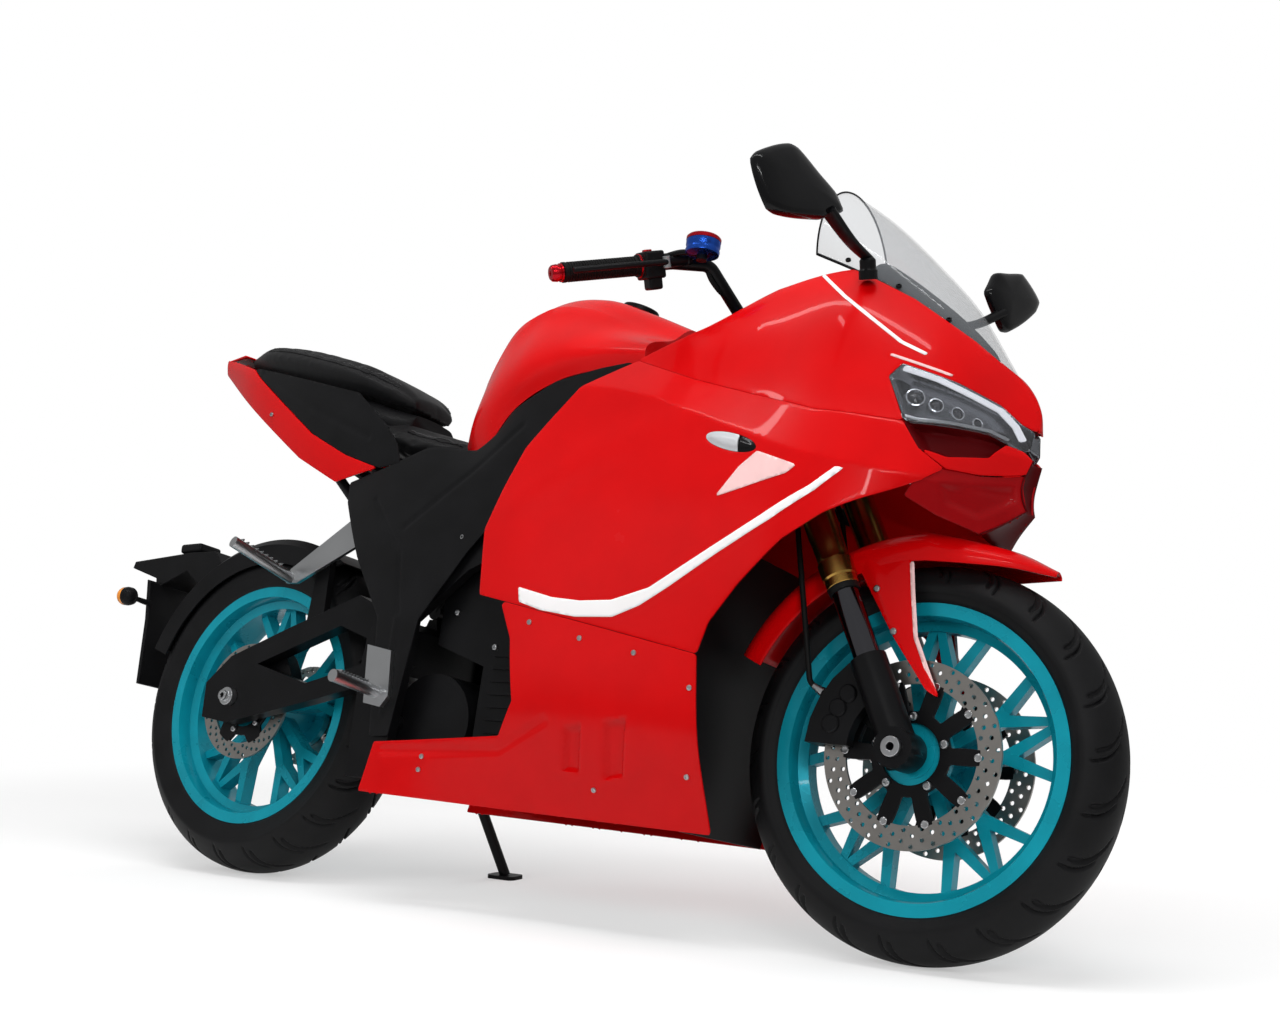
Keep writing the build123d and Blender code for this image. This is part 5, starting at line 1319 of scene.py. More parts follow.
@dataclass
class Seats:
    """Stuffed rider and passenger seats with their seams."""

    rider: list = preset([
        (449, 50, 806, 828), (425, 70, 803, 833), (375, 90, 802, 845), (300, 106, 806, 864),
        (212, 114, 832, 886)])
    pillion: list = preset([
        (286, 56, 900, 928), (250, 90, 909, 954), (190, 116, 925, 984), (90, 126, 951, 1016),
        (-30, 120, 983, 1046), (-140, 98, 1012, 1062), (-226, 52, 1035, 1060)])
    tray: list = preset([
        (286, 64, 845, 897), (240, 92, 836, 906), (190, 104, 846, 922), (90, 102, 884, 948), (-30, 96, 924, 980),
        (-140, 74, 966, 1009), (-222, 46, 1010, 1034)])
    base: list = preset([
        (205, 736), (296, 757), (400, 792), (448, 792), (480, 785), (560, 781)])
    shrink: float = 3.0
    swell: float = 6.0
    voxel: float = 5.5
    frames: int = 20

    def ring(self, half: float, low: float, top: float) -> np.ndarray:
        """Section of a cushion, walked round from the left lower edge over the top."""
        side = low + (top - low) * 0.6
        left = [(half * 0.86, low), (half, side), (half * 0.84, top - 5), (half * 0.42, top), (0, top + 1)]
        return curve_through(left + [(-y, z) for y, z in left[-2::-1]], 29)

    def hull(self, table: Sequence[Sequence[float]], sink: float) -> Shape:
        """Closed cushion body, sunk a little inside its table."""
        knots = np.array([-row[0] for row in table], float)
        x = np.linspace(knots[0] + sink, knots[-1] - sink, 44)
        rows = []
        for at, (half, low, top) in zip(x, smooth_track(knots, np.array([row[1:] for row in table], float), x)):
            rows.append([(-at, y, z) for y, z in self.ring(half - sink, low + 0.5, top - sink)])
        return surface(np.array(rows), True, True)

    def stuff(self, piece: bpy.types.Object) -> None:
        """Blow the cushion up like foam under a cover, held to a few millimetres of swell."""
        remesh = piece.modifiers.new("even", "REMESH")
        remesh.mode, remesh.voxel_size = "VOXEL", self.voxel / 1000
        view = bpy.context.evaluated_depsgraph_get()
        mesh = bpy.data.meshes.new_from_object(piece.evaluated_get(view), depsgraph=view)
        piece.modifiers.clear()
        piece.data = mesh
        rest = np.array([v.co for v in mesh.vertices])
        scene = bpy.context.scene
        cloth = piece.modifiers.new("cloth", "CLOTH")
        cloth.settings.use_pressure, cloth.settings.uniform_pressure_force = True, 4.0
        cloth.settings.effector_weights.gravity = 0.0
        cloth.settings.quality = 6
        cloth.settings.tension_stiffness = cloth.settings.compression_stiffness = 25.0
        cloth.point_cache.frame_start, cloth.point_cache.frame_end = 1, self.frames
        for number in range(1, self.frames + 1):
            scene.frame_set(number)
        view = bpy.context.evaluated_depsgraph_get()
        shaped = piece.evaluated_get(view)
        moved = np.array([v.co for v in shaped.data.vertices])
        piece.modifiers.clear()
        scene.frame_set(1)
        push = moved - rest
        length = np.linalg.norm(push, axis=1, keepdims=True)
        push *= np.minimum(1.0, self.swell / 1000 / np.maximum(length, 1e-9))
        mesh.vertices.foreach_set("co", (rest + push).ravel())
        mesh.update()
        mesh.materials.clear()
        mesh.materials.append(VINYL.material())
        shade(mesh, 60)

    def build(self) -> None:
        """Make both seats, their piping and stitches."""
        seats = (("rider_cushion", self.rider, "rider_seat"), ("pillion_cushion", self.pillion, "pillion_seat"))
        for name, table, node in seats:
            piece = make_piece(name, *self.hull(table, self.shrink), VINYL, Body.CHASSIS, 60)
            self.stuff(piece)
            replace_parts(piece, node)
            self.seam(name, table, self.tree(piece))
        make_piece("seat_tray", *self.hull(self.tray, 0.5), BLACK_PLASTIC, Body.CHASSIS, 60)
        across = np.linspace(116, -116, 9)
        rows = [[(x, y, z) for y in across] for x, z in self.base]
        sheet_piece("seat_base", rows, BLACK_PLASTIC, 2.5, 60)

    @staticmethod
    def tree(piece: bpy.types.Object) -> BVHTree:
        """Search tree of a finished cushion, in the upright frame."""
        view = bpy.context.evaluated_depsgraph_get()
        mesh = piece.evaluated_get(view).to_mesh()
        points = PARK.upright(np.array([v.co for v in mesh.vertices]))
        return BVHTree.FromPolygons([Vector(p) for p in points], [tuple(f.vertices) for f in mesh.polygons])

    @staticmethod
    def lay(tree: BVHTree, points: np.ndarray, sink: float) -> tuple[np.ndarray, np.ndarray]:
        """Points laid on a cushion and sunk a little, with the cushion's normals there."""
        found = [tree.find_nearest(Vector(p)) for p in points]
        normals = np.array([hit[1] for hit in found])
        return np.array([hit[0] for hit in found]) - normals * sink, normals

    def seam(self, name: str, table: Sequence[Sequence[float]], tree: BVHTree) -> None:
        """Piping along the seat's shoulder and stitches beside it, laid on the finished cushion.

        Args:
            name: The cushion's piece name.
            table: Its sections.
            tree: Search tree of the cushion.
        """
        line = []
        for x, half, low, top in table[1:-1]:
            line.append((x, half * 0.90, low + (top - low) * 0.84))
        path = curve_through(line, 60)
        bar = swept([(-2.6, 0, 0.2), (-1.6, 0, 0.9), (1.6, 0, 0.9), (2.6, 0, 0.2)], 0.55, 6)
        stitches = Scatter(name + "_stitches", bar, THREAD, Body.CHASSIS)
        tubes = []
        for side in SIDES:
            flip = np.array([1, side, 1])
            tubes.append(swept(curve_through(self.lay(tree, path * flip, 0.6)[0][::3], 60), 2.2, 8))
            inner = self.lay(tree, (path + np.array([0, -9, 6])) * flip, 0.3)[0]
            along = curve_through(inner[::4], 46)
            middle, normals = self.lay(tree, (along[:-1] + along[1:]) / 2, 0.2)
            for here, normal, step in zip(middle, normals, along[1:] - along[:-1]):
                stitches.put(here, normal, step)
        make_piece(name + "_piping", *joined(tubes), BLACK_SATIN, Body.CHASSIS)
        stitches.build()


@dataclass
class Tyre:
    """A road tyre: one tread pitch, repeated round the wheel by geometry nodes."""

    name: str
    node: str
    body: Body
    centre: tuple[float, float, float]
    radius: float
    width: float
    drop: float
    bead: float
    pitches: int
    flange: float = 234.0
    depth: float = 6.0

    def profile(self, y: np.ndarray) -> np.ndarray:
        """Radius of the crown at a distance from the middle."""
        half = self.width / 2
        bow = (half**2 + self.drop**2) / (2 * self.drop)
        return self.radius - bow + np.sqrt(np.maximum(bow**2 - y**2, 0))

    def pressed(self, turn: np.ndarray, y: np.ndarray) -> np.ndarray:
        """How deep the tread is cut at a share of the pitch and a distance from the middle."""
        half = self.width / 2
        arc = 2 * math.pi * self.radius / self.pitches
        cut = np.zeros_like(y)
        for side, lag in ((1, 0.0), (-1, 0.5)):
            t = side * y / half
            for start, sweep, low, high, wide in ((0.08, 0.62, 0.10, 0.88, 3.6), (0.55, 0.34, 0.34, 0.95, 2.4)):
                middle = start + lag + sweep * (1 - ((high - t) / (high - low))**2)
                gap = np.abs((turn - middle + 0.5) % 1.0 - 0.5) * arc
                body = np.clip((wide + 0.9 - gap) / 1.8, 0, 1)
                ends = np.clip((t - low) / 0.05, 0, 1) * np.clip((high - t) / 0.06, 0, 1)
                cut = np.maximum(cut, body * ends)
        return cut * self.depth

    def pitch(self) -> Shape:
        """One pitch of the tyre about the origin, from bead to bead."""
        half = self.width / 2
        shoulder = self.radius - self.drop
        crown = np.linspace(-half, half, 73)
        middle = (shoulder + self.flange) / 2
        wall = [(half - 1.2, shoulder - 5), (half - 2.6, shoulder - 8), (half - 4.0, middle + 3),
                (half - 6.2, middle), (self.bead + 4.5, self.flange + 4), (self.bead + 1.0, self.flange),
                (self.bead - 5, self.flange - 6)]
        rows = []
        count = 40
        for k in range(count + 1):
            share = k / count
            cut = self.pressed(np.full(len(crown), share), crown)
            ring = [(-y, r) for y, r in wall[::-1]] + list(zip(crown, self.profile(crown) - cut)) + wall
            angle = 2 * math.pi * share / self.pitches
            rows.append([(r * math.sin(angle), y, r * math.cos(angle)) for y, r in ring])
        return surface(np.array(rows))

    def build(self) -> None:
        """Lay the pitches round the wheel."""
        points, faces = self.pitch()
        ring = Scatter(self.name, (points, [f[::-1] for f in faces]), TYRE, self.body, smooth=50, weld=0.02,
                       closed=False)
        for a in turns(self.pitches):
            ring.put(self.centre, (math.sin(a), 0, math.cos(a)), (math.cos(a), 0, -math.sin(a)))
        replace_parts(ring.build(), self.node)


@dataclass
class Brakes:
    """Drilled discs on black carriers, and the calipers' fittings."""

    front_y: float = 67.5
    rear_y: float = 84.5
    row_holes: int = 4
    row_lag: float = 0.12
    rim: float = 6.0
    hole: float = 3.5
    arm_half: float = 3.2

    def disc(self, centre: Point2, radius: float, band: float, y: float, rows: int) -> Shape:
        """Drilled ring in side view about a centre."""
        holes = []
        for a in turns(rows):
            for step in range(self.row_holes):
                r = radius - band + self.rim + step * (band - 2 * self.rim) / (self.row_holes - 1)
                holes.append(circle(on_circle(centre, r, a + step * self.row_lag), self.hole, 12))
        return plate(circle(centre, radius, 120), [circle(centre, radius - band, 90), *holes], y - 2.5, y + 2.5)

    def carrier(self, centre: Point2, inner: float, outer: float, arms: int, y: float) -> Shape:
        """Star between hub and disc: a ring with arms."""
        walk = []
        for a in turns(arms * 24):
            wave = 0.5 + 0.5 * math.cos(arms * a)
            r = inner + 17 + (outer - inner - 17) * max(0.0, min(1.0, (wave - 0.35) * 2.6))
            walk.append(on_circle(centre, r, a))
        return plate(np.array(walk), [circle(centre, inner, 48)], y - self.arm_half, y + self.arm_half)

    def stud(self, studs: Scatter, centre: Point2, radius: float, y: float, angles: Sequence[float]) -> None:
        """Put studs on a carrier's outer face, round a centre.

        Args:
            studs: The studs.
            centre: Wheel centre in side view.
            radius: Radius of their ring.
            y: The carrier's y; its sign says which side is the outer one.
            angles: Their angles in radians.
        """
        side = math.copysign(1, y)
        for a in angles:
            x, z = on_circle(centre, radius, a)
            studs.put((x, y + side * self.arm_half, z), (0, side, 0))

    def build(self) -> None:
        """Make discs, carriers, buttons and bolts."""
        front, rear = (WHEELBASE, FRONT_R), (0.0, REAR_R)
        ring = self.disc(front, 140, 36, self.front_y, 24)
        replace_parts(make_piece("front_disc_rings", *both(ring), STEEL, Body.FRONT_WHEEL), "front_discs")
        star = both(self.carrier(front, 46, 108, 10, self.front_y))
        bevel(make_piece("front_carriers", *star, BLACK_SATIN, Body.FRONT_WHEEL), 0.8)
        ring = self.disc(rear, 112, 30, -self.rear_y, 18)
        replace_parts(make_piece("rear_disc_ring", *ring, STEEL, Body.REAR_WHEEL), "rear_disc")
        star = self.carrier(rear, 50, 86, 6, -self.rear_y)
        bevel(make_piece("rear_carrier", *star, BLACK_SATIN, Body.REAR_WHEEL), 0.8)
        button = turned((0, 0, 0), (0, 0, 1), [(-1, 6), (1.2, 6), (1.8, 5), (1.2, 3)], 16)
        buttons = Scatter("front_disc_buttons", button, SILVER, Body.FRONT_WHEEL)
        bolts = Scatter("front_disc_bolts", screw_shape(6.5, 5), SILVER, Body.FRONT_WHEEL, spin=FULL_SPIN)
        for side in SIDES:
            self.stud(buttons, front, 105, side * self.front_y, turns(10))
            self.stud(bolts, front, 55, side * self.front_y, turns(5, 0.3))
        buttons.build()
        bolts.build()
        bolts = Scatter("rear_disc_bolts", screw_shape(6.0, 5), SILVER, Body.REAR_WHEEL, spin=FULL_SPIN)
        self.stud(bolts, rear, 58, -self.rear_y, turns(6, 0.25))
        bolts.build()
        self.calipers()

    def calipers(self) -> None:
        """Ribs, bolts and unions on the front calipers."""
        ribs, unions = [], []
        hub = (WHEELBASE, FRONT_R)
        for a in np.radians((140, 152, 164)):
            x, z = on_circle(hub, 126, a)
            ribs.append(turned((x, 92, z), (0, 1, 0), [(0, 14), (6, 14), (8, 12), (8.4, 5)], 24))
        a = math.radians(150)
        x, z = on_circle(hub, 163, a)
        profile = [(0, 8), (5, 8), (5.5, 6.5), (12, 6.5), (12.5, 5.4), (20, 5.4)]
        unions.append(turned((x, 89, z), (math.cos(a), 0, math.sin(a)), profile, 18))
        piece = make_piece("caliper_pistons", *both(joined(ribs)), BLACK_SATIN, Body.STEERING)
        make_piece("hose_unions", *both(joined(unions)), SILVER, Body.STEERING)
        bevel(piece, 0.4)


@dataclass
class Fork:
    """Gold outer tubes with their stepped collars, seals and clamp bolts."""

    low: float = 268.0
    top: float = 770.0

    def build(self) -> None:
        """Make the fork's turned pieces."""
        steps = [(0, 24), (1.5, 25.6), (14, 25.6), (17, 27.4), (44, 27.4), (48, 25.4), (60, 25.0), (78, 25.4),
                 (92, 26.6), (self.top - self.low - 3, 26.6), (self.top - self.low, 24.5)]
        foot = steer_point(self.low, CLAMP_OFFSET, FORK_Y)
        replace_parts(make_piece("fork_sleeves", *both(turned(foot, STEER_DIR, steps, 48)), GOLD, Body.STEERING,
                               25), "fork_outer_tubes")
        seal = turned(steer_point(self.low - 9, CLAMP_OFFSET, FORK_Y), STEER_DIR,
                      [(0, 21.6), (0.5, 24), (6, 25), (9.4, 25)], 40)
        make_piece("fork_seals", *both(seal), RUBBER, Body.STEERING)
        cap = turned(steer_point(self.top, CLAMP_OFFSET, FORK_Y), STEER_DIR,
                     [(0, 20), (5, 20), (6, 18.5), (6.2, 8), (3, 7.5)], 6)
        make_piece("fork_caps", *both(cap), BLUE_ALLOY, Body.STEERING)
        bolts = Scatter("clamp_bolts", screw_shape(5.0, 5), SILVER, Body.STEERING, spin=FULL_SPIN)
        for along in (553.0, 728.0):
            for side in SIDES:
                bolts.put(steer_point(along, 66.2, side * (FORK_Y + 18)), STEER_FWD)
        for along in (-6.0, 22.0):
            for side in SIDES:
                foot = steer_point(along, CLAMP_OFFSET, side * FORK_Y)
                bolts.put(foot + np.array([-20.0, side * 20, -14]), (-0.6, side * 0.7, -0.3))
        bolts.build()


@dataclass
class Controls:
    """Grips, switches, levers' fittings and the brake fluid pot."""

    grip_in: tuple[float, float, float] = (893, 232, 1060)
    grip_out: tuple[float, float, float] = (818, 338, 1012)
    pot: tuple[float, float, float] = (985, -186, 1092)

    def build(self) -> None:
        """Make the controls."""
        start, end = np.array(self.grip_in, float), np.array(self.grip_out, float)
        run = unit(end - start)
        length = np.linalg.norm(end - start)
        profile = [(0.4, 14), (0.6, 19), (4.5, 19), (5, 16.4)]
        for k in range(26):
            a = 9 + k * (length - 16) / 26
            profile += [(a, 16.8), (a + 1.9, 16.8), (a + 2.3, 15.8), (a + 3.6, 15.8)]
        profile += [(length - 5, 17), (length - 0.4, 17), (length, 13)]
        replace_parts(make_piece("grip_rubbers", *both(turned(start, run, profile, 32)), RUBBER, Body.STEERING, 50),
                    "grips")
        weight = [(0.3, 11), (1, 15.5), (4, 15.5), (5, 13), (8, 13), (9, 14.6), (17, 13.6), (20, 11), (20.4, 4),
                  (17, 3.5)]
        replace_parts(make_piece("bar_weights", *both(turned(end, run, weight, 32)), RED_ALLOY, Body.STEERING, 35),
                    "bar_ends")
        rings = [turned(start - run * 1.2, run, [(0, 12), (0.3, 20), (3.6, 20), (4, 12)], 32),
                 turned(start - run * 24, run, [(0, 12), (0.3, 19), (2.6, 19), (3, 12)], 32)]
        make_piece("grip_collars", *both(joined(rings)), RED_ALLOY, Body.STEERING)
        fore = unit(np.array([1, 0, 0]) - run * run[0])
        up = np.cross(fore, run) if np.cross(fore, run)[2] > 0 else np.cross(run, fore)
        pod = [box_shape(start - run * 20 - up * 1 + fore * 3, (36, 44, 46), run, up),
               box_shape(start - run * 20 - up * 30 + fore * 7, (24, 28, 24), run, up)]
        piece = make_piece("switch_pods", *both(joined(pod)), BLACK_PLASTIC, Body.STEERING)
        bevel(piece, 4.0, 30, 3)
        keys = [box_shape(start - run * 20 + up * 23 - fore * 6, (14, 11, 6), run, up)]
        piece = make_piece("red_switches", *both(joined(keys)), RED_ALLOY, Body.STEERING)
        bevel(piece, 1.5, 30, 2)
        levers = [turned(start - run * 30 + fore * 46, up, [(-9, 7), (9, 7), (10, 5.5)], 16)]
        make_piece("lever_pivots", *both(joined(levers)), SILVER, Body.STEERING)
        self.plumbing()
        foot = np.array(self.pot, float)
        body = turned(foot, (0, 0, 1), [(-5, 22), (-3, 28), (3, 29), (5, 28.2), (9, 28.2), (11, 29), (19, 29),
                                        (19.5, 28)], 40)
        arm = swept(curve_through([(922, -205, 1084), (950, -198, 1092), (985, -186, 1090)], 12), 5, 12)
        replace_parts(make_piece("fluid_pot", *body, BLUE_ALLOY, Body.STEERING, 35), "brake_reservoir")
        make_piece("pot_arm", *arm, BLACK_SATIN, Body.STEERING)
        cap = turned(foot, (0, 0, 1), [(19.4, 24), (19.6, 29.4), (25, 29.4), (27.5, 27), (28, 22), (28, 8),
                                       (26.5, 7)], 40)
        make_piece("pot_cap", *cap, RED_ALLOY, Body.STEERING, 35)
        stem = turned(foot - np.array([0, 0, 14]), (0, 0, 1), [(0, 9), (9, 9), (10, 14), (11, 14)], 20)
        make_piece("pot_stem", *stem, BLACK_SATIN, Body.STEERING)
        screws = Scatter("pot_screws", screw_shape(2.6, 2), SILVER, Body.STEERING, spin=FULL_SPIN)
        for a in turns(3):
            screws.put(foot + np.array([17 * math.cos(a), 17 * math.sin(a), 28.0]), (0, 0, 1))
        screws.build()

    def plumbing(self) -> None:
        """Lever perches with their cylinders, and the hose that leaves each."""
        start, end = np.array(self.grip_in, float), np.array(self.grip_out, float)
        run = unit(start - end)
        bore = start + run * 26 + np.array([12, 0, 4])
        perch = [turned(bore, run, [(0, 9), (2, 13), (16, 13), (17, 11.5), (48, 11.5), (50, 13), (56, 13),
                                    (58, 8)], 28),
                 turned(start + run * 22, run, [(0, 14), (1, 17), (20, 17), (21, 14)], 28)]
        make_piece("lever_perches", *both(joined(perch)), BLACK_SATIN, Body.STEERING, 35)
        union = turned(bore + run * 58, run, [(0, 7), (6, 7), (7, 5.5), (14, 5.5), (15, 3.5)], 18)
        make_piece("perch_unions", *both(union), SILVER, Body.STEERING)
        a = bore + run * 68
        loop = [a, a + np.array([10, -12, -8]), a + np.array([20, -28, -32]), a + np.array([28, -54, -46]),
                a + np.array([30, -80, -40])]
        make_piece("perch_hoses", *both(swept(curve_through(loop, 40), 4.2, 12)), RUBBER, Body.STEERING)


@dataclass
class Mirrors:
    """Mirror shells with their glass, arms and feet."""

    heads: dict = preset({
        -1: [(1273, 245, 1099), (1266, 258, 1120), (1252, 296, 1140), (1234, 343, 1166), (1230, 357, 1167),
             (1214, 420, 1125), (1213, 427, 1113), (1231, 394, 1044), (1235, 382, 1041), (1262, 289, 1069)],
        1: [(1316, 255, 1144), (1310, 245, 1165), (1311.5, 256.5, 1187), (1313, 268, 1209), (1323, 304, 1222),
            (1333, 340, 1235), (1353, 388, 1194), (1352, 379, 1174), (1334, 302, 1107), (1330, 285, 1103)]})
    foot: tuple[float, float, float] = (1276, 145, 1058)

    def build(self) -> None:
        """Make shells, glass and arms on both sides."""
        shells, panes, arms, feet = [], [], [], []
        for side, points in self.heads.items():
            flip = np.array([1, side, 1])
            ring = np.array(points, float) * flip
            centre = ring.mean(axis=0)
            normal = unit(np.cross(ring[6] - ring[0], ring[3] - ring[0]))
            normal = normal if normal[0] > 0 else -normal
            rim = curve_through(np.vstack([ring, ring[:1]]), 61)[:-1]
            straight = np.array([self.corner(ring, t) for t in np.linspace(0, 1, 60, endpoint=False)])
            rim = rim * 0.35 + straight * 0.65
            layers = [(0.90, -7.5), (0.985, -8.5), (1.0, -5), (0.985, 1), (0.93, 6), (0.80, 9.5), (0.55, 12),
                      (0.2, 13)]
            shell = np.array([centre + (rim - centre) * s + normal * h for s, h in layers])
            shells.append(surface(shell, True, True))
            panes.append(prism(centre + (rim - centre) * 0.93 - normal * 8.6, -normal * 0.8))
            root = (ring[0] + ring[9]) / 2 + unit(ring[5] - ring[0]) * 14
            foot = np.array(self.foot) * flip
            bend = (root + foot) / 2 + np.array([4, 0, -8])
            arms.append(swept(curve_through([root + normal * 3, bend, foot + np.array([0, 0, 2])], 16),
                              np.linspace(13, 9, 16), 16, 0.7))
            feet.append(turned(foot - np.array([0, 0, 30]) * flip, np.array([0.05, 0.4, 0.9]) * flip,
                               [(0, 15), (14, 15), (17, 13), (30, 13), (33, 11), (35, 6)], 20))
        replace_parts(make_piece("mirror_shells", *joined(shells), BLACK_GLOSS, Body.CHASSIS, 35), "mirrors")
        make_piece("mirror_panes", *joined(panes), CHROME, Body.CHASSIS)
        make_piece("mirror_arms", *joined(arms), BLACK_SATIN, Body.CHASSIS)
        make_piece("mirror_feet", *joined(feet), BLACK_SATIN, Body.CHASSIS, 30)

    @staticmethod
    def corner(ring: np.ndarray, share: float) -> np.ndarray:
        """Point at a share of the way round a ring's straight runs."""
        closed = np.vstack([ring, ring[:1]])
        lengths = path_lengths(closed)
        return np.array([np.interp(share * lengths[-1], lengths, closed[:, k]) for k in range(3)])


@dataclass
class Screen:
    """Tinted windscreen bubble with its dark edge, screws and inner cowl."""

    table: list = preset([
        (1172, 133, 1090, 1248), (1250, 123, 1052, 1186), (1330, 103, 1008, 1106), (1405, 72, 956, 1020),
        (1474, 20, 899, 910)])

    def build(self) -> None:
        """Make the bubble and its trim."""
        knots = np.array([row[0] for row in self.table], float)
        x = np.linspace(1172, 1474, 44)
        rows = []
        sections = np.array([row[1:] for row in self.table], float)
        for at, (half, edge, crown) in zip(x, smooth_track(knots, sections, x)):
            rise = max(crown - edge, 2.0)
            bow = (half**2 + rise**2) / (2 * rise)
            reach = math.asin(min(1.0, half / bow))
            reach = math.pi - reach if rise > half else reach
            sweep = np.linspace(reach, -reach, 45)
            rows.append([(at, bow * math.sin(a), crown - bow + bow * math.cos(a)) for a in sweep])
        grid = np.array(rows)
        self.cowl(grid)
        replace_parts(sheet_piece("screen_bubble", grid, SCREEN_GLASS, 2.6, 60), "windscreen")
        trims = [swept(grid[:-3, 0], 2.4, 8), swept(grid[:-3, -1], 2.4, 8), swept(grid[0], 1.6, 8)]
        make_piece("screen_edges", *joined(trims), BLACK_SATIN, Body.CHASSIS)
        screws = Scatter("screen_screws", screw_shape(4.5, 3), BLACK_SATIN, Body.CHASSIS, spin=FULL_SPIN)
        for i in (8, 20, 31):
            for j, side in ((1, 1), (43, -1)):
                screws.put(grid[i, j] + np.array([0, side * 1.5, 1]), (0.2, side * 0.8, 0.5))
        screws.build()

    def cowl(self, grid: np.ndarray) -> None:
        """Dark inner cowl that shows through the foot of the bubble.

        Args:
            grid: Points of the bubble, rows along the machine, columns left to right.
        """
        rows = []
        for row in grid[13:38]:
            half, edge = row[0, 1] - 7, row[0, 2] - 3
            rise = 0.46 * (row[:, 2].max() - row[0, 2])
            sweep = np.linspace(0, math.pi, 33)
            rows.append([(row[0, 0], half * math.cos(a), edge + rise * math.sin(a)) for a in sweep])
        sheet_piece("dash_cowl", rows, BLACK_PLASTIC, 2.0, 60)


@dataclass
class Rear:
    """Rear indicators, the plate bracket's lamp and the pegs' treads."""

    stalk: tuple[float, float, float] = (-358, 71, 513)

    def build(self) -> None:
        """Make the rear fittings."""
        lens = turned((-374, 130, 515), (1, 0, 0), [(-1, 4), (0, 12), (2, 17), (6, 18.6), (14, 18.8)], 32)
        cup = turned((-360, 130, 515), (1, 0, 0), [(0, 19), (3, 19.4), (12, 18), (18, 12), (21, 6)], 32)
        way = curve_through([self.stalk, (-360, 90, 514), (-358, 112, 515)], 10)
        stem = swept(way, np.linspace(6.5, 5, 10), 12)
        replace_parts(make_piece("amber_lenses", *both(lens), AMBER, Body.CHASSIS, 40), "rear_indicators")
        make_piece("amber_cups", *both(joined([cup, stem])), BLACK_PLASTIC, Body.CHASSIS, 40)
        pod = box_shape((-318, 0, 644), (62, 60, 20), (1, 0, 0.05))
        bevel(make_piece("plate_lamp", *pod, BLACK_PLASTIC, Body.CHASSIS), 6, 30, 3)
        ribs = Scatter("peg_teeth", box_shape((0, 0, 1.2), (2.4, 17, 3.6)), SILVER, Body.CHASSIS)
        for start, end in (((94, 116, 554), (68, 254, 592)), ((408, 164, 336), (404, 275, 345))):
            a, b = np.array(start, float), np.array(end, float)
            run = unit(b - a)
            for k in range(9):
                here = a + run * (34 + k * (np.linalg.norm(b - a) - 40) / 9)
                for side in SIDES:
                    flip = np.array([1, side, 1])
                    ribs.put((here + np.array([0, 0, 10.5])) * flip, (0, 0, 1), run * flip)
        ribs.build()


@dataclass
class Drive:
    """Chain links and the toothed rear sprocket."""

    chain_y: float = 83.0
    big: float = 96.0
    small: float = 34.0
    motor: Point2 = (500.0, 295.0)
    teeth: int = 44
    half_pitch: float = 6.35
    pin: float = 1.9
    plate_wall: float = 1.2

    def path(self) -> np.ndarray:
        """Closed line of the chain in side view, in even steps of half a pitch."""
        dx, dz = self.motor[0], self.motor[1] - REAR_R
        tilt, spread = math.atan2(dz, dx), math.acos((self.big - self.small) / math.hypot(dx, dz))
        back = np.linspace(tilt + spread, tilt + 2 * math.pi - spread, 60)
        nose = np.linspace(tilt - spread, tilt + spread, 30)
        line = np.array([on_circle((0.0, REAR_R), self.big, a) for a in back]
                        + [on_circle(self.motor, self.small, a) for a in nose])
        closed = np.vstack([line, line[:1]])
        lengths = path_lengths(closed)
        count = 2 * int(round(lengths[-1] / (4 * self.half_pitch)))
        walk = np.linspace(0, lengths[-1], count, endpoint=False)
        return np.column_stack([np.interp(walk, lengths, closed[:, k]) for k in (0, 1)])

    def link(self, wide: float) -> Shape:
        """One link along x: two waisted side plates and two rollers."""
        a = np.linspace(0, 2 * math.pi, 24, endpoint=False)
        x = (self.half_pitch + 4.4 * np.abs(np.cos(a))) * np.cos(a)
        z = 4.6 * np.sin(a) * (1 - 0.2 * np.exp(-(np.cos(a) / 0.4)**2))
        plates = []
        for low in (wide, -wide - self.plate_wall):
            plates.append(prism(np.column_stack([x, np.full(24, low), z]), (0, self.plate_wall, 0)))
        bar = [(0, self.pin), (2 * wide + 3.2, self.pin)]
        pins = [turned((side * -self.half_pitch, -wide - 1.6, 0), (0, 1, 0), bar, 10) for side in SIDES]
        return joined(plates + pins)

    def build(self) -> None:
        """Make chain and sprocket."""
        line = self.path()
        pieces = []
        for name, wide, first in (("chain_outer_links", 3.4, 0), ("chain_inner_links", 2.1, 1)):
            links = Scatter(name, self.link(wide), STEEL, Body.CHASSIS)
            for i in range(first, len(line), 2):
                here, there = line[i], line[(i + 1) % len(line)]
                run = unit([there[0] - here[0], 0, there[1] - here[1]])
                middle = (here + there) / 2
                links.put((middle[0], self.chain_y, middle[1]), np.cross(run, (0, 1, 0)), run)
            pieces.append(links.build())
        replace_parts(pieces[0], "drive_chain")
        walk = []
        hub = (0.0, REAR_R)
        for a in turns(self.teeth * 6):
            walk.append(on_circle(hub, self.big - 4.5 + 4.2 * math.cos(self.teeth * a), a))
        holes = [circle(hub, 50, 48)] + [circle(on_circle(hub, 74, a), 9, 18) for a in turns(10)]
        wheel = plate(np.array(walk), holes, self.chain_y - 2, self.chain_y + 2)
        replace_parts(make_piece("sprocket_plate", *wheel, STEEL, Body.REAR_WHEEL), "rear_sprocket")


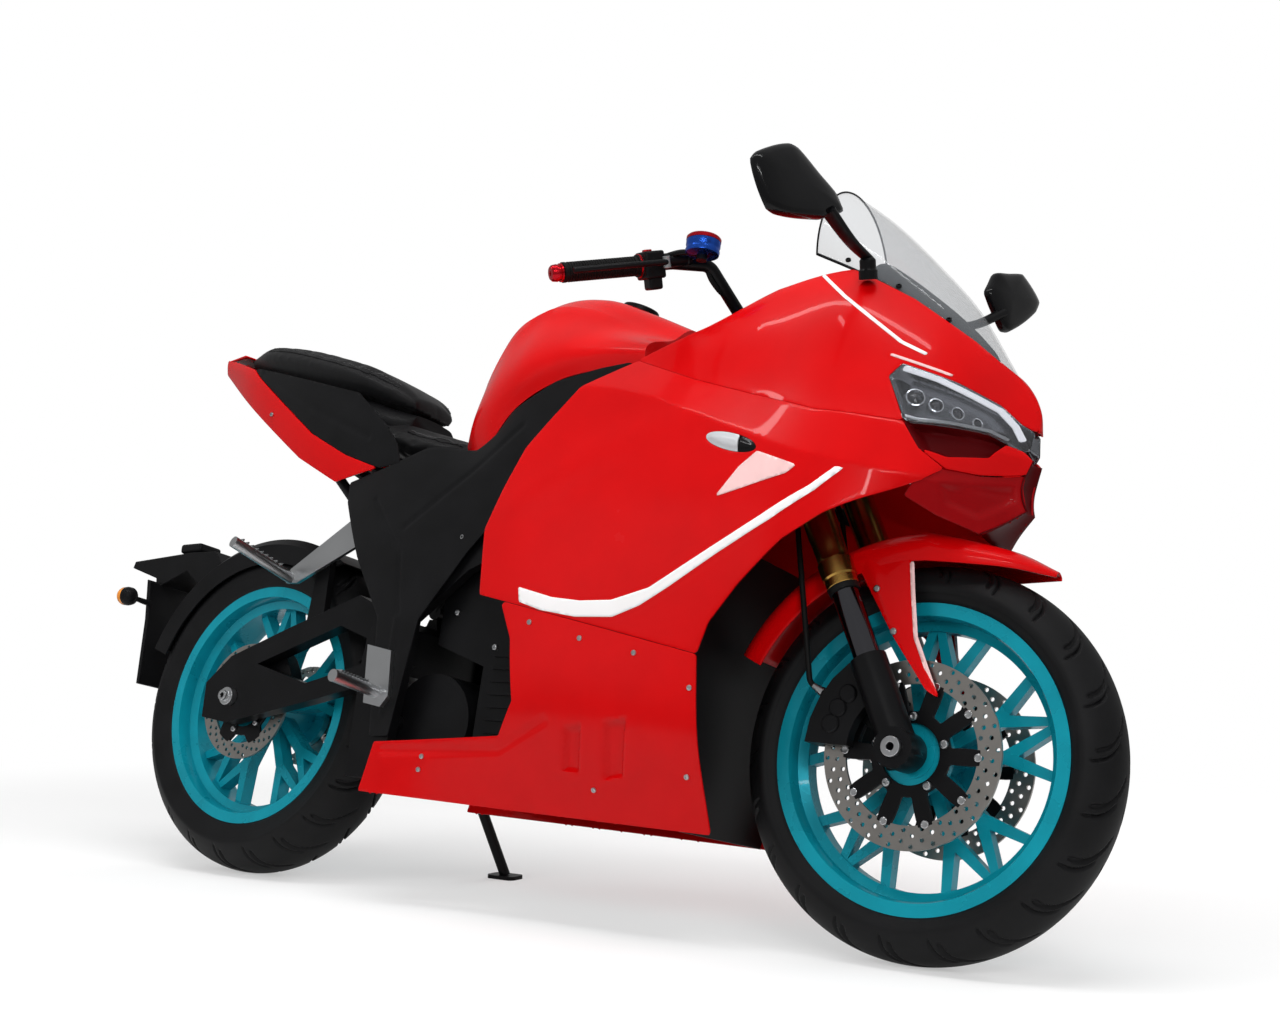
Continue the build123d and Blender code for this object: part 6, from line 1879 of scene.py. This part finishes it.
@dataclass
class Fasteners:
    """Screws of the panels and covers."""

    red: RedBody

    def build(self) -> None:
        """Lay the screws out on the skins and plates they hold."""
        screws = Scatter("panel_screws", screw_shape(4.4, 2.6), SILVER, Body.CHASSIS, spin=FULL_SPIN)
        for x, z in ((759, 456), (865, 431), (972, 410), (532, 231), (525, 209), (890, 200), (1068, 230),
                     (1076, 360)):
            for side in SIDES:
                flip = np.array([1, side, 1])
                screws.put(self.red.on_skin(x, z, 0.3) * flip, self.red.outward(x, z) * flip)
        for x, y, z in ((541, 157.5, 618), (423, 157.5, 404), (423, 157.5, 560), (211, 126.5, 782),
                        (-60, 108, 900)):
            for side in SIDES:
                screws.put((x, side * y, z), (0, side, 0.05))
        screws.build()
        case = Scatter("case_screws", screw_shape(5.5, 4), SILVER, Body.CHASSIS, spin=FULL_SPIN)
        for x, z in ((526, 490), (622, 430), (622, 215), (800, 215), (800, 670), (990, 215), (990, 540),
                     (640, 670)):
            for side in SIDES:
                case.put((x, side * 120, z), (0, side, 0))
        case.build()
        ribs = Scatter("case_ribs", box_shape((0, 0, 1.5), (150, 5, 5)), BLACK_SATIN, Body.CHASSIS)
        for k in range(9):
            for side in SIDES:
                ribs.put((700, side * 120, 240 + k * 22), (0, side, 0), (1, 0, 0))
        ribs.build()
        fender = Scatter("fender_screws", screw_shape(5.5, 3.2), SILVER, Body.STEERING, spin=FULL_SPIN)
        for x, z in ((1311, 544), (1345, 478)):
            for side in SIDES:
                fender.put((x, side * 80.2, z), (0, side, 0))
        fender.build()


@dataclass
class CadDress:
    """Solids that show in their own form, with softened edges and their finish."""

    edge: float = 0.9
    smooth: float = 32.0
    wide_edges: dict = preset({
        "front_rim": 0.0, "rear_rim": 0.0, "main_frame": 2.5, "swingarm": 3.0, "battery_case": 2.5,
        "brake_levers": 1.5, "front_calipers": 2.0, "triple_clamps": 1.8, "plate_bracket": 1.5})

    def build(self) -> None:
        """Dress every solid that no other piece stands for."""
        groups = frame["record"]["behaviour"]["bodies"]
        for body in Body:
            for name in groups[body.value]:
                if name in FORM_FINISH:
                    self.dress(name, FORM_FINISH[name], body)

    def dress(self, name: str, finish: Finish, body: Body) -> None:
        """Stand a softened copy in for a solid.

        Args:
            name: The solid's node.
            finish: Its surface.
            body: Body that carries it.
        """
        mesh = NODES[name].data.copy()
        piece = bpy.data.objects.new(name + "_form", mesh)
        bpy.context.scene.collection.objects.link(piece)
        merge(piece, 0.01)
        if "custom_normal" in mesh.attributes:
            mesh.attributes.remove(mesh.attributes["custom_normal"])
        mesh.materials.clear()
        mesh.materials.append(finish.material())
        shade(mesh, self.smooth)
        width = self.wide_edges.get(name, self.edge)
        if width:
            bevel(piece, width, self.smooth)
        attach(piece, body.value)
        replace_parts(piece, name)
        LOG.info("piece %s_form: %d faces", name, len(mesh.polygons))


# Stage


@dataclass
class Stage:
    """Floor, lamps and the camera, at the place the photograph was taken from."""

    position: tuple[float, float, float] = (2.373, -2.204, 0.491)
    target: tuple[float, float, float] = (0.9101, -0.0177, 0.6832)
    roll: float = math.radians(0.88)
    lens: float = 45.29
    mirrored_share: float = 0.27
    ambient: float = 0.34

    def build(self) -> None:
        """Make the stage."""
        self.camera()
        self.floor()
        self.lamps()
        self.world()
        bpy.context.scene.view_settings.view_transform = "Standard"

    def camera(self) -> None:
        """Set the camera, its place measured from under the rear axle."""
        shift = Vector((*PARK.origin()[:2], 0.0))
        eye, aim = Vector(self.position) + shift, Vector(self.target) + shift
        ahead = (aim - eye).normalized()
        right = ahead.cross(Vector((0, 0, 1))).normalized()
        up = right.cross(ahead)
        across = right * math.cos(self.roll) + up * math.sin(self.roll)
        rise = up * math.cos(self.roll) - right * math.sin(self.roll)
        data = bpy.data.cameras.new("camera")
        data.lens, data.sensor_width, data.sensor_fit = self.lens, 36.0, "HORIZONTAL"
        camera = bpy.data.objects.new("camera", data)
        camera.matrix_world = Matrix((across, rise, -ahead)).transposed().to_4x4()
        camera.location = eye
        bpy.context.scene.collection.objects.link(camera)
        bpy.context.scene.camera = camera

    def floor(self) -> None:
        """Lay a pale floor that keeps the shadow near the machine and is plain white further off."""
        mesh = bpy.data.meshes.new("floor")
        mesh.from_pydata([(-40, -40, 0), (40, -40, 0), (40, 40, 0), (-40, 40, 0)], [], [(0, 1, 2, 3)])
        floor = bpy.data.objects.new("floor", mesh)
        bpy.context.scene.collection.objects.link(floor)
        sheet = NodeSheet("pale_floor")
        sheet.shader.inputs["Base Color"].default_value = (0.55, 0.55, 0.55, 1)
        sheet.shader.inputs["Roughness"].default_value = 0.9
        sheet.shader.inputs["Specular IOR Level"].default_value = 0.0
        sheet.shader.inputs["Emission Color"].default_value = (1, 1, 1, 1)
        seen = self.seen(sheet)
        sheet.join(sheet.spread(seen, 0.0, 0.42), sheet.shader.inputs["Emission Strength"])
        white = sheet.add("ShaderNodeEmission")
        sheet.join(seen, white.inputs["Strength"])
        far = sheet.add("ShaderNodeVectorMath")
        far.operation = "LENGTH"
        sheet.join(sheet.add("ShaderNodeTexCoord").outputs["Object"], far.inputs[0])
        fade = sheet.add("ShaderNodeMapRange", From_Min=1.3, From_Max=3.0)
        fade.interpolation_type = "SMOOTHSTEP"
        sheet.join(far.outputs["Value"], fade.inputs["Value"])
        mix = sheet.add("ShaderNodeMixShader")
        sheet.join(fade.outputs["Result"], mix.inputs["Fac"])
        sheet.join(sheet.shader.outputs[0], mix.inputs[1])
        sheet.join(white.outputs[0], mix.inputs[2])
        sheet.join(mix.outputs[0], sheet.output.inputs["Surface"])
        mesh.materials.append(sheet.material)

    def seen(self, sheet: NodeSheet) -> bpy.types.NodeSocket:
        """Share of the white backdrop that a ray shows: all of it seen straight, less when mirrored."""
        path = sheet.add("ShaderNodeLightPath")
        total = sheet.spread(path.outputs["Is Glossy Ray"], 0.0, self.mirrored_share)
        for name in ("Is Camera Ray", "Is Transmission Ray"):
            either = sheet.add("ShaderNodeMath")
            either.operation = "MAXIMUM"
            sheet.join(total, either.inputs[0])
            sheet.join(path.outputs[name], either.inputs[1])
            total = either.outputs[0]
        return total

    def lamps(self) -> None:
        """Hang soft boxes that only light, and thin strips that also show as highlights."""
        for name, place, size, power, mirrored_too in (
                ("overhead", (0.3, -0.5, 3.2), (3.2, 1.6), 58, False),
                ("front_fill", (2.9, -2.6, 1.7), (1.6, 1.6), 46, False),
                ("rear_fill", (-1.8, -3.0, 1.5), (1.6, 1.6), 36, False),
                ("left_fill", (0.4, 3.4, 2.0), (2.6, 1.4), 45, False),
                ("top_strip", (0.4, -0.9, 2.9), (3.0, 0.10), 13, True),
                ("side_strip", (1.9, -2.9, 1.9), (1.8, 0.08), 11, True)):
            data = bpy.data.lights.new(name, "AREA")
            data.shape, data.size, data.size_y, data.energy = "RECTANGLE", size[0], size[1], power
            lamp = bpy.data.objects.new(name, data)
            lamp.location = place
            lamp.rotation_euler = (Vector((0.2, 0, 0.5)) - Vector(place)).to_track_quat("-Z", "Y").to_euler()
            lamp.visible_glossy = mirrored_too
            bpy.context.scene.collection.objects.link(lamp)

    def world(self) -> None:
        """White to the camera and through glass, softer where it is mirrored or only lights."""
        world = bpy.data.worlds.new("studio")
        world.use_nodes = True
        tree = world.node_tree
        path = tree.nodes.new("ShaderNodeLightPath")
        level = path.outputs["Is Camera Ray"]
        for name, share in (("Is Transmission Ray", 1.0), ("Is Glossy Ray", self.mirrored_share)):
            scaled, either = tree.nodes.new("ShaderNodeMath"), tree.nodes.new("ShaderNodeMath")
            scaled.operation, either.operation = "MULTIPLY", "MAXIMUM"
            scaled.inputs[1].default_value = share
            tree.links.new(path.outputs[name], scaled.inputs[0])
            tree.links.new(level, either.inputs[0])
            tree.links.new(scaled.outputs[0], either.inputs[1])
            level = either.outputs[0]
        floor = tree.nodes.new("ShaderNodeMath")
        floor.operation = "MAXIMUM"
        floor.inputs[1].default_value = self.ambient
        tree.links.new(level, floor.inputs[0])
        background = tree.nodes["Background"]
        background.inputs["Color"].default_value = (1, 1, 1, 1)
        tree.links.new(floor.outputs[0], background.inputs["Strength"])
        bpy.context.scene.world = world


def main() -> None:
    """Dress the machine, one sub-assembly after the other."""
    logging.basicConfig(level=logging.INFO, format="%(message)s")
    red = RedBody()
    front = Tyre("front_tyre_tread", "front_tyre", Body.FRONT_WHEEL, (WHEELBASE, 0, FRONT_R), FRONT_R, 120, 44,
                 48, 22)
    rear = Tyre("rear_tyre_tread", "rear_tyre", Body.REAR_WHEEL, (0, 0, REAR_R), REAR_R, 150, 50, 62, 22)
    parts = (CadDress(), red, Tank(), Tail(), Covers(), Fender(), Seats(), front, rear, Brakes(), Fork(),
             Controls(), Mirrors(), Screen(), Rear(), Drive(), Fasteners(red), Stage())
    for part in parts:
        LOG.info("building %s", type(part).__name__)
        part.build()


if __name__ == "__main__":
    main()
